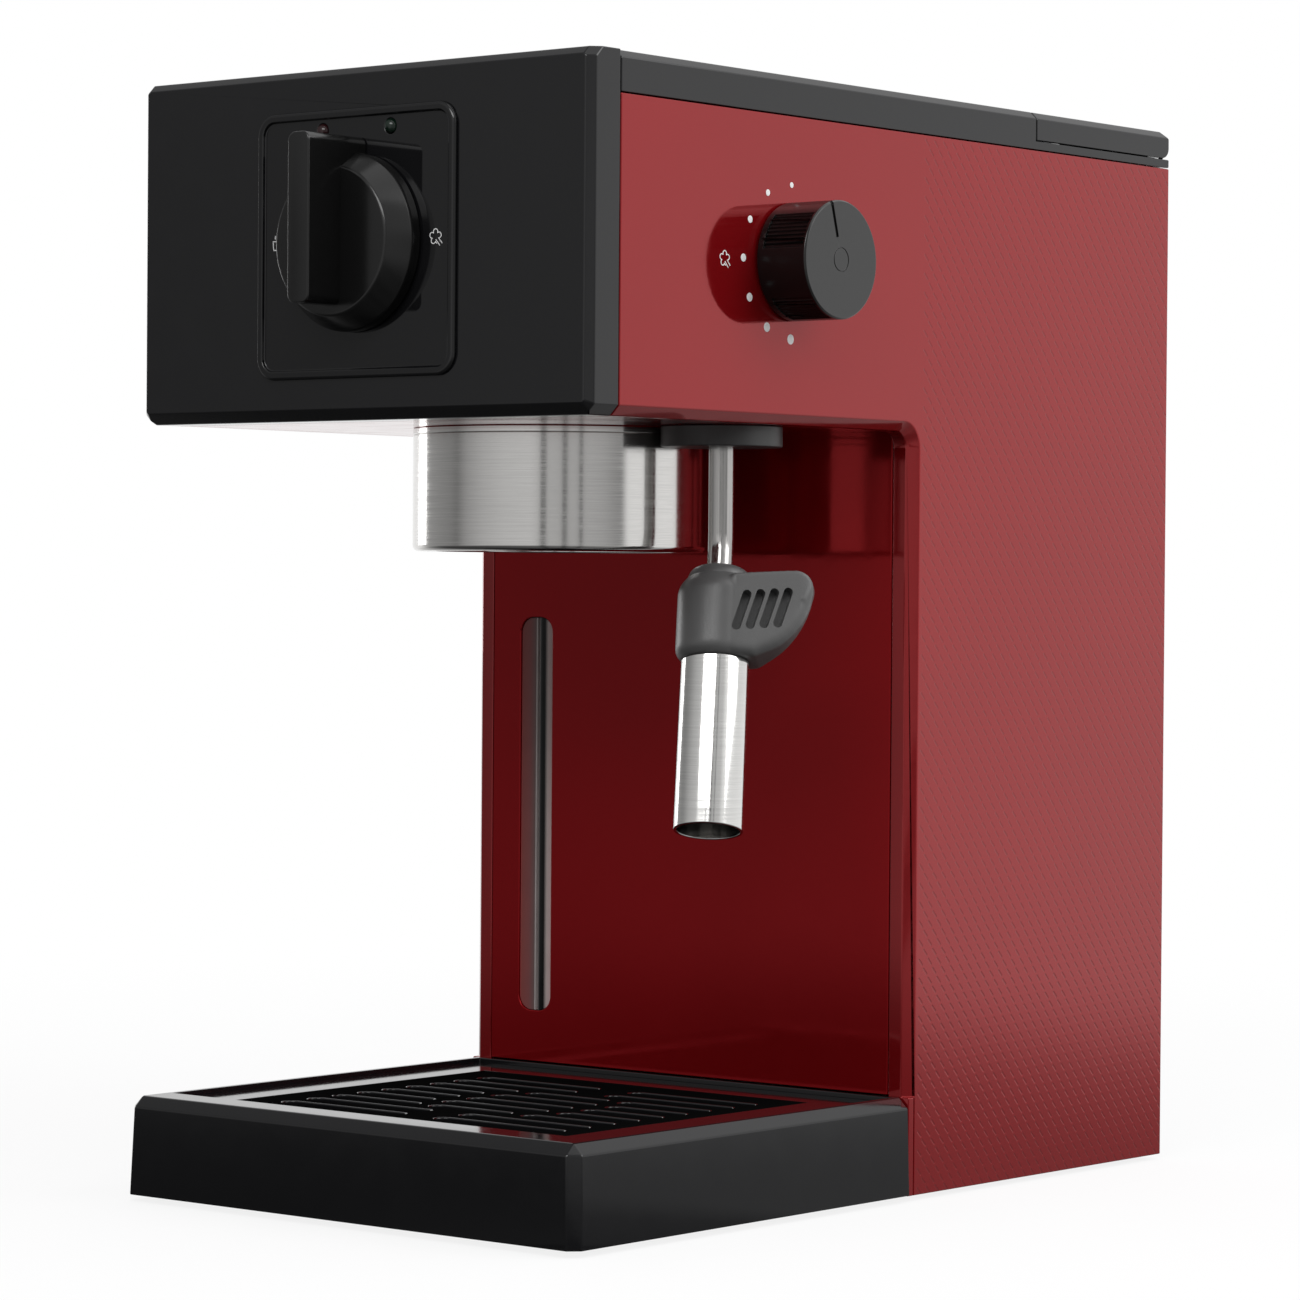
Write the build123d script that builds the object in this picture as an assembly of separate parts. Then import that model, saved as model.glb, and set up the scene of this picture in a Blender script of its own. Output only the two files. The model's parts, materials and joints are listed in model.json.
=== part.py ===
from build123d import *
import os
from math import asin, cos, pi, radians, sin

# All sizes in millimetres. X points to the machine's right, Y to its back, Z up.

# Casing
body_width = 158.8
body_depth = 262.4
body_height = 300.0          # above the lower edges of the casing
foot_height = 1.5            # how far the rubber feet stand below those edges
head_height = 91.7           # the overhanging head, from its underside to the top
head_reach = 136.8           # from the front of the head back to the column's front
casing_wall = 2.5
seam_gap = 0.3               # between neighbouring casing pieces
edge_chamfer = 2.0           # upper and side edges of the black pieces
under_chamfer = 3.0          # lower edge of the head
column_chamfer = 2.75        # front edges of the column, lower side edges of the head
return_width = 7.0           # how far the side panels wrap onto the front and underside
corner_radius = 4.5          # side panel, between head and column
facet_cut = 2.6              # small facets on the fascia's upper corners
fascia_depth = 11.35
cover_strip = 10.6           # side height of the top cover
lid_height = 7.9
lid_wall = 2.0
rail_width = 7.0             # top cover's frame round the tank
rim_seat_width = 3.0         # step in that frame where the tank's rim hangs
rim_seat_depth = 1.5
rear_wall = 3.0
floor_wall = 2.2

# Base and feet
pan_floor = 3.0
pan_rim = 12.0
tongue_inset = 15.4          # tongue of the base under the drip tray, inside the casing's sides
tongue_setback = 14.0
tongue_height = 4.0
foot_radius = 9.0
foot_plug_radius = 3.0
foot_plug_length = 2.5
front_foot_inset = 14.0      # inside the tongue's sides
front_foot_setback = 36.0
rear_foot_side = 23.4        # inside the casing's sides
rear_foot_inset = 24.0

# Drip tray and its grid
tray_height = 26.9
tray_overhang = 4.4          # how far the tray stands in front of the fascia
tray_side_reach = 0.9        # how far its lower edge stands outside the casing
tray_draft = 1.9             # degrees
tray_chamfer = 2.9
tray_rim = 1.5               # thin rim at the sides and back
tray_front_bar = 11.0        # wide bar along the front
tray_ledge = 3.0
tray_floor = 2.0
tray_slide_gap = 0.4
grid_drop = 1.3              # grid below the tray's rim
grid_thickness = 3.0
grid_gap = 0.4
grid_field_margin = 16.0     # plain border round the slotted field
grid_field_depth = 0.4
slot_rows_each_side = 4
slot_pitch = 10.0
slot_width = 5.0
slot_end_margin = 9.0
middle_bridge = 12.0         # single bridge of the outer rows
side_bridge = 5.0            # paired bridges of the inner rows
inner_bridge_x = 20.5        # middle row and its neighbours
outer_bridge_x = 16.5        # second rows out

# Function dial and its plate
plate_size = 70.0
plate_corner = 6.0
bezel_width = 2.3
bezel_proud = 1.3
bezel_round = 1.0
plate_proud = 0.4            # plate's face in front of the fascia
plate_plug = 4.0
plug_gap = 0.2
dial_radius = 23.2
dial_flange = 5.2
dial_face_radius = 19.3
dial_face = 10.1             # face of the dial in front of the plate
dial_gap = 0.4               # dial in front of its plate
bar_width = 6.8
bar_top = 26.5               # pointer end above the dial's centre
bar_bottom = 16.7
bar_reach = 23.7             # front of the grip bar in front of the plate
bar_end_radius = 2.4
bar_edge_round = 0.8
hub_depth = 9.0
shaft_radius = 3.0
shaft_gap = 0.05
switch_size = 40.0
switch_depth = 22.0
lamp_radius = 1.9
lamp_dome = 1.3
lamp_stem = 9.0
lamp_flange_radius = 3.0
lamp_flange = 2.0
lamp_x = 12.0
lamp_rise = 29.6

# Steam valve and knob
group_setback = 81.5         # group, valve and wand share this plane behind the front
valve_rise = 42.6            # valve axis above the head's underside
valve_size = 20.0
valve_length = 20.0
valve_shoulder_radius = 10.0
valve_stem_radius = 6.0
hole_gap = 0.3
knob_radius = 15.4
knob_reach = 16.5
knob_gap = 0.6
knob_ring = 2.6              # plain ring next to the panel
knob_chamfer = 1.0
knob_hub_depth = 11.0
knob_pointer_turn = 16.0     # degrees from upright, towards the front
pointer_width = 1.0
pointer_length = 9.5
pointer_depth = 0.5
mark_radius = 3.2
mark_width = 0.4
rib_groups = 4
ribs_per_group = 9
rib_pitch = 4.4              # degrees
rib_groove_radius = 0.36

# Group
collar_radius = 40.0
collar_drop = 33.4           # collar below the head's underside
collar_wall = 2.0
collar_lip = 2.0
collar_lip_radius = 34.0
collar_fillet = 1.6
flange_height = 1.8
ring_outer = 37.5
ring_inner = 30.0
lug_slot_width = 18.0
lug_slot_radius = 33.8
lug_groove = 6.0
lug_depth = 8.0
ring_lift = 0.3
plate_thickness = 2.0
plate_rise = 3.0             # carrier plate above the head's underside
gasket_height = 6.0
gasket_wall = 4.2
screen_wall = 1.2
screen_depth = 3.2
screen_gap = 0.3
screen_hole_radius = 0.9
screen_hole_rings = (8, 14, 20)
screen_ring_pitch = 6.0
screw_radius = 2.5
screw_head_radius = 4.0
screw_head = 2.0
screw_length = 11.0
boss_drop = 8.0

# Boiler
boiler_radius = 34.0
boiler_wall = 6.0
base_flange_radius = 44.0
base_flange = 6.0
boiler_lower_height = 24.0
joint_flange_radius = 41.0
joint_flange = 5.0
seal_height = 2.0
seal_width = 3.0
boiler_upper_height = 31.0
bolt_radius = 2.0
bolt_head_radius = 3.2
bolt_head = 3.0
bolt_circle = 37.6
bolt_count = 4
element_inner = 20.0
element_outer = 28.0
element_height = 6.0
terminal_radius = 1.5
terminal_height = 8.0
thermostat_radius = 8.0
thermostat_height = 7.0
fuse_radius = 2.5
fuse_length = 14.0
fuse_offset = 14.0
port_radius = 6.0
port_reach = 4.0
port_wall = 2.0
tube_radius = 3.0
tube_bore = 2.0

# Steam wand
wand_x = 56.6
wand_flange_radius = 16.2
wand_flange_height = 5.6
wand_stem_radius = 7.0
wand_stem_rise = 14.0        # stem above the head's underside
wand_nut_flats = 20.0
wand_nut_sides = 6
wand_nut_height = 4.0
pipe_radius = 3.4
pipe_bore = 2.2
pipe_top_rise = 9.0
kink_drop = 30.8             # bend of the pipe below the head's underside
kink_radius = 16.0
wand_lean = 18.0             # degrees off the vertical below the bend
wand_heading = -58.0         # degrees from X in plan, where the wand leans
grip_top = 7.5               # measured along the leaning pipe from the bend
grip_shoulder = 10.8
grip_bottom = 33.3
grip_radius = 10.0
grip_neck_radius = 7.0
fin_reach = 25.2
fin_thickness = 8.0          # at its outer end
fin_root = 10.3              # its upper edge, at the pipe
fin_top = 9.2                # and at the outer end
fin_round = 3.4
fin_belly_x = 21.5           # a point on its round lower edge
fin_belly_z = 22.2
fin_slots = 4
fin_slot_width = 2.4
fin_slot_length = 11.6
fin_slot_pitch = 3.5
fin_slot_slant = 16.0        # degrees
fin_slot_depth = 1.2
fin_slot_x = 12.6
fin_slot_z = 20.6
sleeve_radius = 8.9
sleeve_wall = 0.6
sleeve_end = 79.3
spigot_length = 12.0
slip_gap = 0.08
pipe_end = 40.0
tip_radius = 4.5
tip_length = 10.0
tip_cone = 7.0
tip_end_radius = 1.8
tip_bore = 0.8

# Column
window_inset = 23.7          # its middle, inside the left side
window_width = 12.0
window_bottom = 42.0         # above the casing's lower edge
window_top = 156.5
window_corner = 4.5
window_recess = 0.3          # ridge of the lens behind the column's front
window_gap = 0.15
window_flange = 2.0
window_base = 1.4
duct_wall = 1.5
pump_bay = 50.0              # clear depth behind the column's front, where the pump hangs
bulkhead_setback = 5.0       # bulkhead in front of the lid's seam
sheet = 1.5
sheet_gap = 0.3              # round the steel sheet inside the base

# Pump and water path
pump_x = 12.0
pump_radius = 11.0
pump_rise = 50.0
pump_length = 100.0
coil_width = 40.0
coil_depth = 36.0
coil_height = 48.0
coil_rise = 28.0
spigot_radius = 4.0
pump_spigot = 8.0
mount_radius = 6.0
bracket_wall = 2.0
bracket_height = 60.0
mount_spacing = 28.0
hose_radius = 5.0
hose_bore = 3.0
hose_rise = 18.0
hose_bend = 16.0
tube_bend = 14.0
pressure_rise = 17.5         # boiler inlet above the head's underside
socket_radius = 14.0
socket_outlet_radius = 7.0
socket_outlet = 6.0
socket_cup_depth = 13.0

# Water tank
tank_rise = 34.0             # tank floor above the casing's lower edge
tank_wall = 2.2
tank_gap = 1.5
tank_corner = 6.0
valve_plug_radius = 7.0
valve_plug_drop = 12.0
valve_plug_top = 6.0
valve_flange_radius = 10.0
valve_flange = 2.0
valve_seat_gap = 0.3
pin_radius = 1.0
pin_inset = 2.9
pin_rise = 3.0
knuckle_radius = 2.2
knuckle_inset = 39.4         # inside the casing's sides
knuckle_width = 8.0
knuckle_gap = 0.4
ear_width = 5.0

# Back
gland_inset = 34.4           # inside the left side
gland_rise = 25.0
gland_radius = 8.0
gland_flange_radius = 10.5
gland_flange = 2.0
gland_bore = 3.6
gland_depth = 8.0
screw_boss = 9.0
screw_boss_depth = 10.0
case_screw_radius = 1.5
case_screw_head_radius = 2.9
case_screw_head = 1.7
case_screw_length = 9.0
case_screw_margin = 30.0     # lowest and highest screws inside the casing's ends
vent_count = 9
vent_length = 50.0
vent_width = 3.0
vent_pitch = 7.0
vent_rise = 62.0
terminal_block_width = 30.0
terminal_block_depth = 16.0
terminal_block_height = 13.0
terminal_block_inset = 20.0

# Levels and planes that the pieces share
half = body_width / 2
inner_half = half - casing_wall
return_half = half - return_width
tongue_half = half - tongue_inset
window_x = window_inset - half
gland_x = gland_inset - half
knuckle_x = half - knuckle_inset
front = -body_depth / 2
back = body_depth / 2
base_z = foot_height
top_z = base_z + body_height
head_z = top_z - head_height
strip_z = top_z - cover_strip
lid_z = top_z - lid_height
rail_z = lid_z - seam_gap
fascia_y = front + fascia_depth
column_y = front + head_reach
panel_y = column_y + casing_wall
bulkhead_y = panel_y + pump_bay
lid_y = bulkhead_y + bulkhead_setback
group_y = front + group_setback
dial_z = top_z - head_height / 2
valve_z = head_z + valve_rise
pan_z = base_z + pan_floor
plate_z = head_z + plate_rise
boiler_z = plate_z + plate_thickness
joint_z = boiler_z + boiler_lower_height
upper_z = joint_z + seal_height
boiler_top = upper_z + boiler_upper_height
collar_z = head_z - collar_drop
boss_z = boiler_z - boss_drop
tray_top = base_z + tray_height
grid_z = tray_top - grid_drop
tank_z = base_z + tank_rise
pump_y = (panel_y + bulkhead_y) / 2
hose_z = base_z + hose_rise
plate_face = front - plate_proud
boss_back = back - rear_wall - seam_gap
past = 1.0                   # how far a cutter runs past the face that it opens


def block(x0, x1, y0, y1, z0, z1):
    return Pos((x0 + x1) / 2, (y0 + y1) / 2, (z0 + z1) / 2) * Box(x1 - x0, y1 - y0, z1 - z0)


def rod_x(y, z, x0, x1, radius):
    return Pos((x0 + x1) / 2, y, z) * Rot(0, 90, 0) * Cylinder(radius, x1 - x0)


def rod_y(x, z, y0, y1, radius):
    return Pos(x, (y0 + y1) / 2, z) * Rot(90, 0, 0) * Cylinder(radius, y1 - y0)


def rod_z(x, y, z0, z1, radius):
    return Pos(x, y, (z0 + z1) / 2) * Cylinder(radius, z1 - z0)


def ring_z(x, y, z0, z1, outer, inner):
    return rod_z(x, y, z0, z1, outer) - rod_z(x, y, z0 - past, z1 + past, inner)


def front_view(x, y, z):
    # a plane that faces the front, X to the right and Y up
    return Plane(origin=(x, y, z), x_dir=(1, 0, 0), z_dir=(0, -1, 0))


def upright_slab(width, height, corner, x, z, y0, y1):
    # a rounded rectangle facing the front, from y0 back to y1
    return extrude(front_view(x, y1, z) * RectangleRounded(width, height, corner), y1 - y0)


def bent_tube(points, bend, outer, bore):
    path = FilletPolyline(*points, radius=bend)
    start = Plane(origin=path @ 0, z_dir=path % 0)
    return sweep(start * Circle(outer), path) - sweep(start * Circle(bore), path)


def corner_facets(solid, y, z):
    # cuts the two front corners of a chamfered shell at height z
    for side in (-1, 1):
        corner = Vector(side * half, y, z)
        outward = Vector(side, -1, 1).normalized()
        solid = split(solid, Plane(corner - outward * facet_cut, z_dir=outward), keep=Keep.BOTTOM)
    return solid


def panel_outline(inset, overshoot):
    # the C shape of a side panel; inset moves its inner edges into the wall
    y0 = fascia_y + seam_gap - overshoot
    y1 = back + overshoot
    z0 = base_z - overshoot
    z1 = strip_z - seam_gap + overshoot
    edge_y = column_y + inset
    edge_z = head_z + inset
    points = [(y0, edge_z), (edge_y, edge_z), (edge_y, z0), (y1, z0), (y1, z1), (y0, z1)]
    face = make_face(Polyline(*points, close=True))
    corner = face.vertices().sort_by_distance((edge_y, edge_z))[0]
    return fillet(corner, corner_radius + inset)


def screw_places():
    x = inner_half - screw_boss / 2 - seam_gap
    rises = (case_screw_margin, body_height / 2, body_height - case_screw_margin)
    return [(side * x, base_z + rise) for side in (-1, 1) for rise in rises]


def side_panel():
    # the right-hand panel; the left one mirrors it
    panel = extrude(Plane.YZ.offset(return_half) * panel_outline(0, 0), return_width)
    outer_edges = panel.faces().sort_by(Axis.X)[-1].edges()
    near = 0.01
    rim = [
        edge
        for edge in outer_edges
        if edge.geom_type == GeomType.CIRCLE
        or abs(edge.center().Z - head_z) < near
        or abs(edge.center().Y - column_y) < near
    ]
    panel = chamfer(rim, column_chamfer)
    hollow = Plane.YZ.offset(return_half - past) * panel_outline(casing_wall, past)
    panel -= extrude(hollow, return_width - casing_wall + past)
    panel += block(return_half, half, column_y, panel_y, base_z, tray_top)
    for x, z in screw_places():
        if x > 0:
            reach = screw_boss / 2
            boss_front = boss_back - screw_boss_depth
            boss = block(x - reach, inner_half, boss_front, boss_back, z - reach, z + reach)
            boss -= rod_y(x, z, boss_front, boss_back + past, case_screw_radius + shaft_gap)
            panel += boss
    return panel


def left_side_panel():
    return mirror(side_panel(), about=Plane.YZ)


def right_side_panel():
    hole_radius = valve_stem_radius + hole_gap
    return side_panel() - rod_x(group_y, valve_z, inner_half - past, half + past, hole_radius)


def front_fascia():
    shell = block(-half, half, front, fascia_y, head_z, top_z)
    lower_sides = shell.faces().sort_by(Axis.Z)[0].edges().filter_by(Axis.Y)
    shell = chamfer(lower_sides, column_chamfer)
    face_edges = shell.faces().sort_by(Axis.Y)[0].edges()
    lower = face_edges.sort_by(Axis.Z)[0]
    shell = chamfer([edge for edge in face_edges if edge != lower], edge_chamfer)
    lower = shell.faces().sort_by(Axis.Y)[0].edges().sort_by(Axis.Z)[0]
    shell = chamfer(lower, under_chamfer)
    shell = corner_facets(shell, front, top_z)
    wall = casing_wall
    shell -= block(-half + wall, half - wall, front + wall, fascia_y + past, head_z + wall, top_z - wall)
    opening = plate_size - 2 * bezel_width + 2 * plug_gap
    corner = plate_corner - bezel_width
    return shell - upright_slab(opening, opening, corner, 0, dial_z, front - past, front + wall + past)


def lamp_places():
    return [(side * lamp_x, dial_z + lamp_rise) for side in (-1, 1)]


def dial_plate():
    inner = plate_size - 2 * bezel_width
    corner = plate_corner - bezel_width
    bezel = upright_slab(plate_size, plate_size, plate_corner, 0, dial_z, front - bezel_proud, front)
    proud_face = bezel.faces().sort_by(Axis.Y)[0]
    bezel = fillet(proud_face.edges(), bezel_round)
    recess = upright_slab(inner, inner, corner, 0, dial_z, front - bezel_proud - past, plate_face)
    plug = upright_slab(inner, inner, corner, 0, dial_z, plate_face, front + plate_plug)
    plate = bezel - recess + plug
    plate -= rod_y(0, dial_z, plate_face - past, front + plate_plug + past, shaft_radius + hole_gap)
    for x, z in lamp_places():
        plate -= rod_y(x, z, plate_face - past, front + plate_plug + past, lamp_radius + shaft_gap)
    return plate


def lamp(x, z):
    stem_back = front + plate_plug + lamp_stem
    ball_radius = (lamp_radius**2 + lamp_dome**2) / (2 * lamp_dome)
    dome = Pos(x, plate_face - lamp_dome + ball_radius, z) * Sphere(ball_radius)
    dome &= rod_y(x, z, plate_face - lamp_dome, plate_face, lamp_radius)
    stem = rod_y(x, z, plate_face, stem_back, lamp_radius)
    flange = rod_y(x, z, front + plate_plug, front + plate_plug + lamp_flange, lamp_flange_radius)
    return dome + stem + flange


def function_dial():
    flat = plate_face - dial_gap
    profile = [
        (0, flat),
        (dial_radius, flat),
        (dial_radius, front - dial_flange),
        (dial_face_radius, front - dial_face),
        (0, front - dial_face),
    ]
    outline = Pos(0, 0, dial_z) * make_face(Polyline(*profile, close=True))
    dial = revolve(outline, Axis((0, 0, dial_z), (0, 1, 0)))
    middle = dial_z + (bar_top - bar_bottom) / 2
    bar = upright_slab(bar_width, bar_top + bar_bottom, bar_end_radius, 0, middle, front - bar_reach, flat)
    dial += bar
    tip_edges = dial.faces().sort_by(Axis.Y)[0].edges()
    dial = fillet(tip_edges, bar_edge_round)
    return dial - rod_y(0, dial_z, flat - hub_depth, flat + past, shaft_radius + shaft_gap)


def selector_shaft():
    start = plate_face - dial_gap - hub_depth
    return rod_y(0, dial_z, start, front + plate_plug + switch_depth / 2, shaft_radius)


def selector_switch():
    y0 = front + plate_plug
    reach = switch_size / 2
    body = block(-reach, reach, y0, y0 + switch_depth, dial_z - reach, dial_z + reach)
    return body - rod_y(0, dial_z, y0 - past, y0 + switch_depth / 2, shaft_radius + shaft_gap)


def top_cover():
    y0 = fascia_y + seam_gap
    y1 = lid_y - seam_gap
    cover = block(-half, half, y0, y1, strip_z, top_z)
    long_edges = cover.edges().filter_by(Axis.Y).group_by(Axis.Z)[-1]
    cover = chamfer(long_edges, edge_chamfer)
    wall = casing_wall
    cover -= block(-half + wall, half - wall, y0 - past, y1 - wall, strip_z - past, top_z - wall)
    frame = block(-half, half, y1, back, strip_z, rail_z)
    mouth_half = half - rail_width
    frame -= block(-mouth_half, mouth_half, y1 - past, back - rail_width, strip_z - past, rail_z + past)
    lip = rail_width - rim_seat_width
    frame -= block(lip - half, half - lip, y1 - past, back - lip, rail_z - rim_seat_depth, rail_z + past)
    return cover + frame


def knuckle_places():
    return [side * knuckle_x for side in (-1, 1)]


def pin_axis():
    return back - pin_inset, lid_z + pin_rise


def pin_reach():
    return knuckle_x + knuckle_width / 2 + knuckle_gap + ear_width


def tank_lid():
    pin_y, pin_z = pin_axis()
    lid = block(-half, half, lid_y, back, lid_z, top_z)
    top_edges = lid.faces().sort_by(Axis.Z)[-1].edges()
    lid = chamfer([edge for edge in top_edges if edge.center().Y > lid_y], edge_chamfer)
    wall = lid_wall
    lid -= block(wall - half, half - wall, lid_y + wall, back - wall, lid_z - past, top_z - wall)
    heel = block(-half - past, half + past, pin_y, back + past, lid_z - past, pin_z)
    lid -= heel - rod_x(pin_y, pin_z, -half - past, half + past, pin_inset)
    for x in knuckle_places():
        reach = knuckle_width / 2 + knuckle_gap
        lid -= block(x - reach, x + reach, pin_y - pin_inset, back + past, lid_z - past, top_z - wall)
    for side in (-1, 1):
        ear_start = knuckle_x + knuckle_width / 2 + knuckle_gap
        x0, x1 = sorted((side * ear_start, side * (ear_start + ear_width)))
        ear = block(x0, x1, pin_y - knuckle_radius, pin_y + knuckle_radius, pin_z, top_z - wall)
        ear += rod_x(pin_y, pin_z, x0, x1, knuckle_radius)
        lid += ear
    return lid - rod_x(pin_y, pin_z, -pin_reach(), pin_reach(), pin_radius + shaft_gap)


def lid_hinge_pin():
    pin_y, pin_z = pin_axis()
    return rod_x(pin_y, pin_z, -pin_reach(), pin_reach(), pin_radius)


def tank_plan():
    # inside the top cover's frame and in front of the screw bosses, less the running gap
    reach = half - rail_width - tank_gap
    return -reach, reach, lid_y + tank_gap, boss_back - screw_boss_depth - tank_gap


def tank_centre_y():
    _, _, y0, y1 = tank_plan()
    return (y0 + y1) / 2


def water_tank():
    x0, x1, y0, y1 = tank_plan()
    pin_y, pin_z = pin_axis()
    seat = rail_z - rim_seat_depth + seam_gap / 2
    tank = block(x0, x1, y0, y1, tank_z, lid_z)
    tank = fillet(tank.edges().filter_by(Axis.Z), tank_corner)
    lip = rail_width - rim_seat_width + knuckle_gap
    rim = block(lip - half, half - lip, lid_y + lid_wall + seam_gap, back - lip, seat, lid_z + knuckle_gap)
    tank += rim
    for x in knuckle_places():
        reach = knuckle_width / 2
        foot_z = rail_z + seam_gap
        knuckle = block(x - reach, x + reach, pin_y - knuckle_radius, pin_y + knuckle_radius, foot_z, pin_z)
        knuckle += rod_x(pin_y, pin_z, x - reach, x + reach, knuckle_radius)
        tank += knuckle - rod_x(pin_y, pin_z, x - reach, x + reach, pin_radius + shaft_gap)
    wall = tank_wall
    inside = block(x0 + wall, x1 - wall, y0 + wall, y1 - wall, tank_z + wall, lid_z + pin_rise)
    inside = fillet(inside.edges().filter_by(Axis.Z), tank_corner - wall)
    tank -= inside
    hole_radius = valve_plug_radius + shaft_gap
    return tank - rod_z(pump_x, tank_centre_y(), tank_z - past, tank_z + wall + past, hole_radius)


def tank_valve():
    y = tank_centre_y()
    floor = tank_z + tank_wall
    plug = rod_z(pump_x, y, tank_z - valve_plug_drop, floor + valve_plug_top, valve_plug_radius)
    return plug + rod_z(pump_x, y, floor, floor + valve_flange, valve_flange_radius)


def tank_socket():
    y = tank_centre_y()
    top = tank_z - seam_gap
    cup = rod_z(pump_x, y, pan_z, top, socket_radius)
    cup += rod_y(pump_x, hose_z, y - socket_radius - socket_outlet, y, socket_outlet_radius)
    return cup - rod_z(pump_x, y, top - socket_cup_depth, top + past, valve_plug_radius + valve_seat_gap)


def column_front_panel():
    width = 2 * (return_half - seam_gap)
    z0 = tray_top + seam_gap
    z1 = head_z + floor_wall
    panel = block(-width / 2, width / 2, column_y, panel_y, z0, z1)
    return panel - window_slab(window_width, column_y - past, panel_y + past)


def window_slab(width, y0, y1):
    shrink = window_width - width
    height = window_top - window_bottom - shrink
    middle = base_z + (window_top + window_bottom) / 2
    return upright_slab(width, height, window_corner - shrink / 2, window_x, middle, y0, y1)


def level_window():
    # a half-round lens in the panel's slot, on a flange behind the panel
    width = window_width - 2 * window_gap
    ridge_y = column_y + window_recess
    rise = panel_y - ridge_y
    radius = ((width / 2) ** 2 + rise**2) / (2 * rise)
    z0 = base_z + window_bottom
    z1 = base_z + window_top
    lens = rod_z(window_x, ridge_y + radius, z0, z1, radius)
    lens &= window_slab(width, ridge_y - past, panel_y)
    return lens + window_slab(window_width + 2 * window_flange, panel_y, panel_y + window_base)


def duct_box(margin, y0, y1):
    reach = window_width / 2 + margin
    z0 = base_z + window_bottom - margin
    z1 = base_z + window_top + margin
    return block(window_x - reach, window_x + reach, y0, y1, z0, z1)


def sight_duct():
    y0 = panel_y + window_base
    return duct_box(duct_wall, y0, bulkhead_y) - duct_box(0, y0 - past, bulkhead_y + past)


def head_floor():
    reach = return_half - seam_gap
    top = head_z + floor_wall
    floor = block(-reach, reach, fascia_y + seam_gap, column_y - seam_gap, head_z, top)
    floor -= rod_z(0, group_y, head_z - past, top + past, ring_outer + hole_gap)
    return floor - rod_z(wand_x, group_y, head_z - past, top + past, wand_stem_radius + hole_gap)


def inner_chassis():
    # upright bulkhead in front of the tank, and the carrier plate over the group
    pan_x0, pan_x1, _, _ = pan_plan()
    reach = (pan_x1 - pan_x0) / 2 - casing_wall - sheet_gap
    bulkhead = block(-reach, reach, bulkhead_y, bulkhead_y + sheet, pan_z, strip_z)
    bulkhead -= duct_box(0, bulkhead_y - past, bulkhead_y + sheet + past)
    hose_hole = socket_outlet_radius + hole_gap
    bulkhead -= rod_y(pump_x, hose_z, bulkhead_y - past, bulkhead_y + sheet + past, hose_hole)
    plate_front = group_y - base_flange_radius
    plate = block(-reach, reach, plate_front, bulkhead_y, plate_z, boiler_z)
    plate -= rod_z(0, group_y, plate_z - past, boiler_z + past, ring_outer + hole_gap)
    plate -= rod_z(wand_x, group_y, plate_z - past, boiler_z + past, wand_stem_radius + hole_gap)
    plate -= rod_z(pump_x, pump_y, plate_z - past, boiler_z + past, tube_radius + hole_gap)
    return bulkhead + plate


def pan_plan():
    reach = inner_half - seam_gap
    return -reach, reach, panel_y + seam_gap, back - rear_wall - seam_gap


def foot_places():
    front_y = front + front_foot_setback
    rear_y = back - rear_foot_inset
    pairs = ((tongue_half - front_foot_inset, front_y), (half - rear_foot_side, rear_y))
    return [(side * x, y) for x, y in pairs for side in (-1, 1)]


def base_pan():
    x0, x1, y0, y1 = pan_plan()
    pan = block(x0, x1, y0, y1, base_z, base_z + pan_rim)
    wall = casing_wall
    pan -= block(x0 + wall, x1 - wall, y0 + wall, y1 - wall, pan_z, base_z + pan_rim + past)
    tongue_front = front + tongue_setback
    pan += block(-tongue_half, tongue_half, tongue_front, y0, base_z, base_z + tongue_height)
    for x, y in foot_places():
        pan -= rod_z(x, y, base_z - past, base_z + foot_plug_length, foot_plug_radius + shaft_gap)
    return pan


def rubber_feet():
    feet = []
    for x, y in foot_places():
        foot = rod_z(x, y, 0, base_z, foot_radius)
        foot += rod_z(x, y, base_z, base_z + foot_plug_length, foot_plug_radius)
        feet.append(foot)
    return feet


def rear_cover():
    x0, x1, _, _ = pan_plan()
    cover = block(x0, x1, back - rear_wall, back, base_z, strip_z - seam_gap)
    for x, z in screw_places():
        cover -= rod_y(x, z, back - rear_wall - past, back + past, case_screw_radius + hole_gap)
        cover -= rod_y(x, z, back - case_screw_head, back + past, case_screw_head_radius + hole_gap)
    gland_z = base_z + gland_rise
    cover -= rod_y(gland_x, gland_z, back - rear_wall - past, back + past, gland_radius + shaft_gap)
    for step in range(vent_count):
        slot = front_view(0, back + past, base_z + vent_rise + step * vent_pitch)
        cover -= extrude(slot * SlotOverall(vent_length, vent_width), rear_wall + 2 * past)
    return cover


def casing_screws():
    screws = []
    for x, z in screw_places():
        tip = back - case_screw_head - case_screw_length
        screw = rod_y(x, z, tip, back - case_screw_head, case_screw_radius)
        screws.append(screw + rod_y(x, z, back - case_screw_head, back, case_screw_head_radius))
    return screws


def cord_gland():
    z = base_z + gland_rise
    inside = back - rear_wall
    gland = rod_y(gland_x, z, inside - gland_depth, back, gland_radius)
    gland += rod_y(gland_x, z, inside - gland_flange, inside, gland_flange_radius)
    return gland - rod_y(gland_x, z, inside - gland_depth - past, back + past, gland_bore)


def terminal_block():
    y1 = back - rear_wall - terminal_block_inset
    y0 = y1 - terminal_block_depth
    reach = terminal_block_width / 2
    return block(gland_x - reach, gland_x + reach, y0, y1, pan_z, pan_z + terminal_block_height)


def collar_flange():
    return ring_z(0, group_y, head_z - flange_height, head_z, collar_radius, ring_outer + hole_gap)


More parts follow.
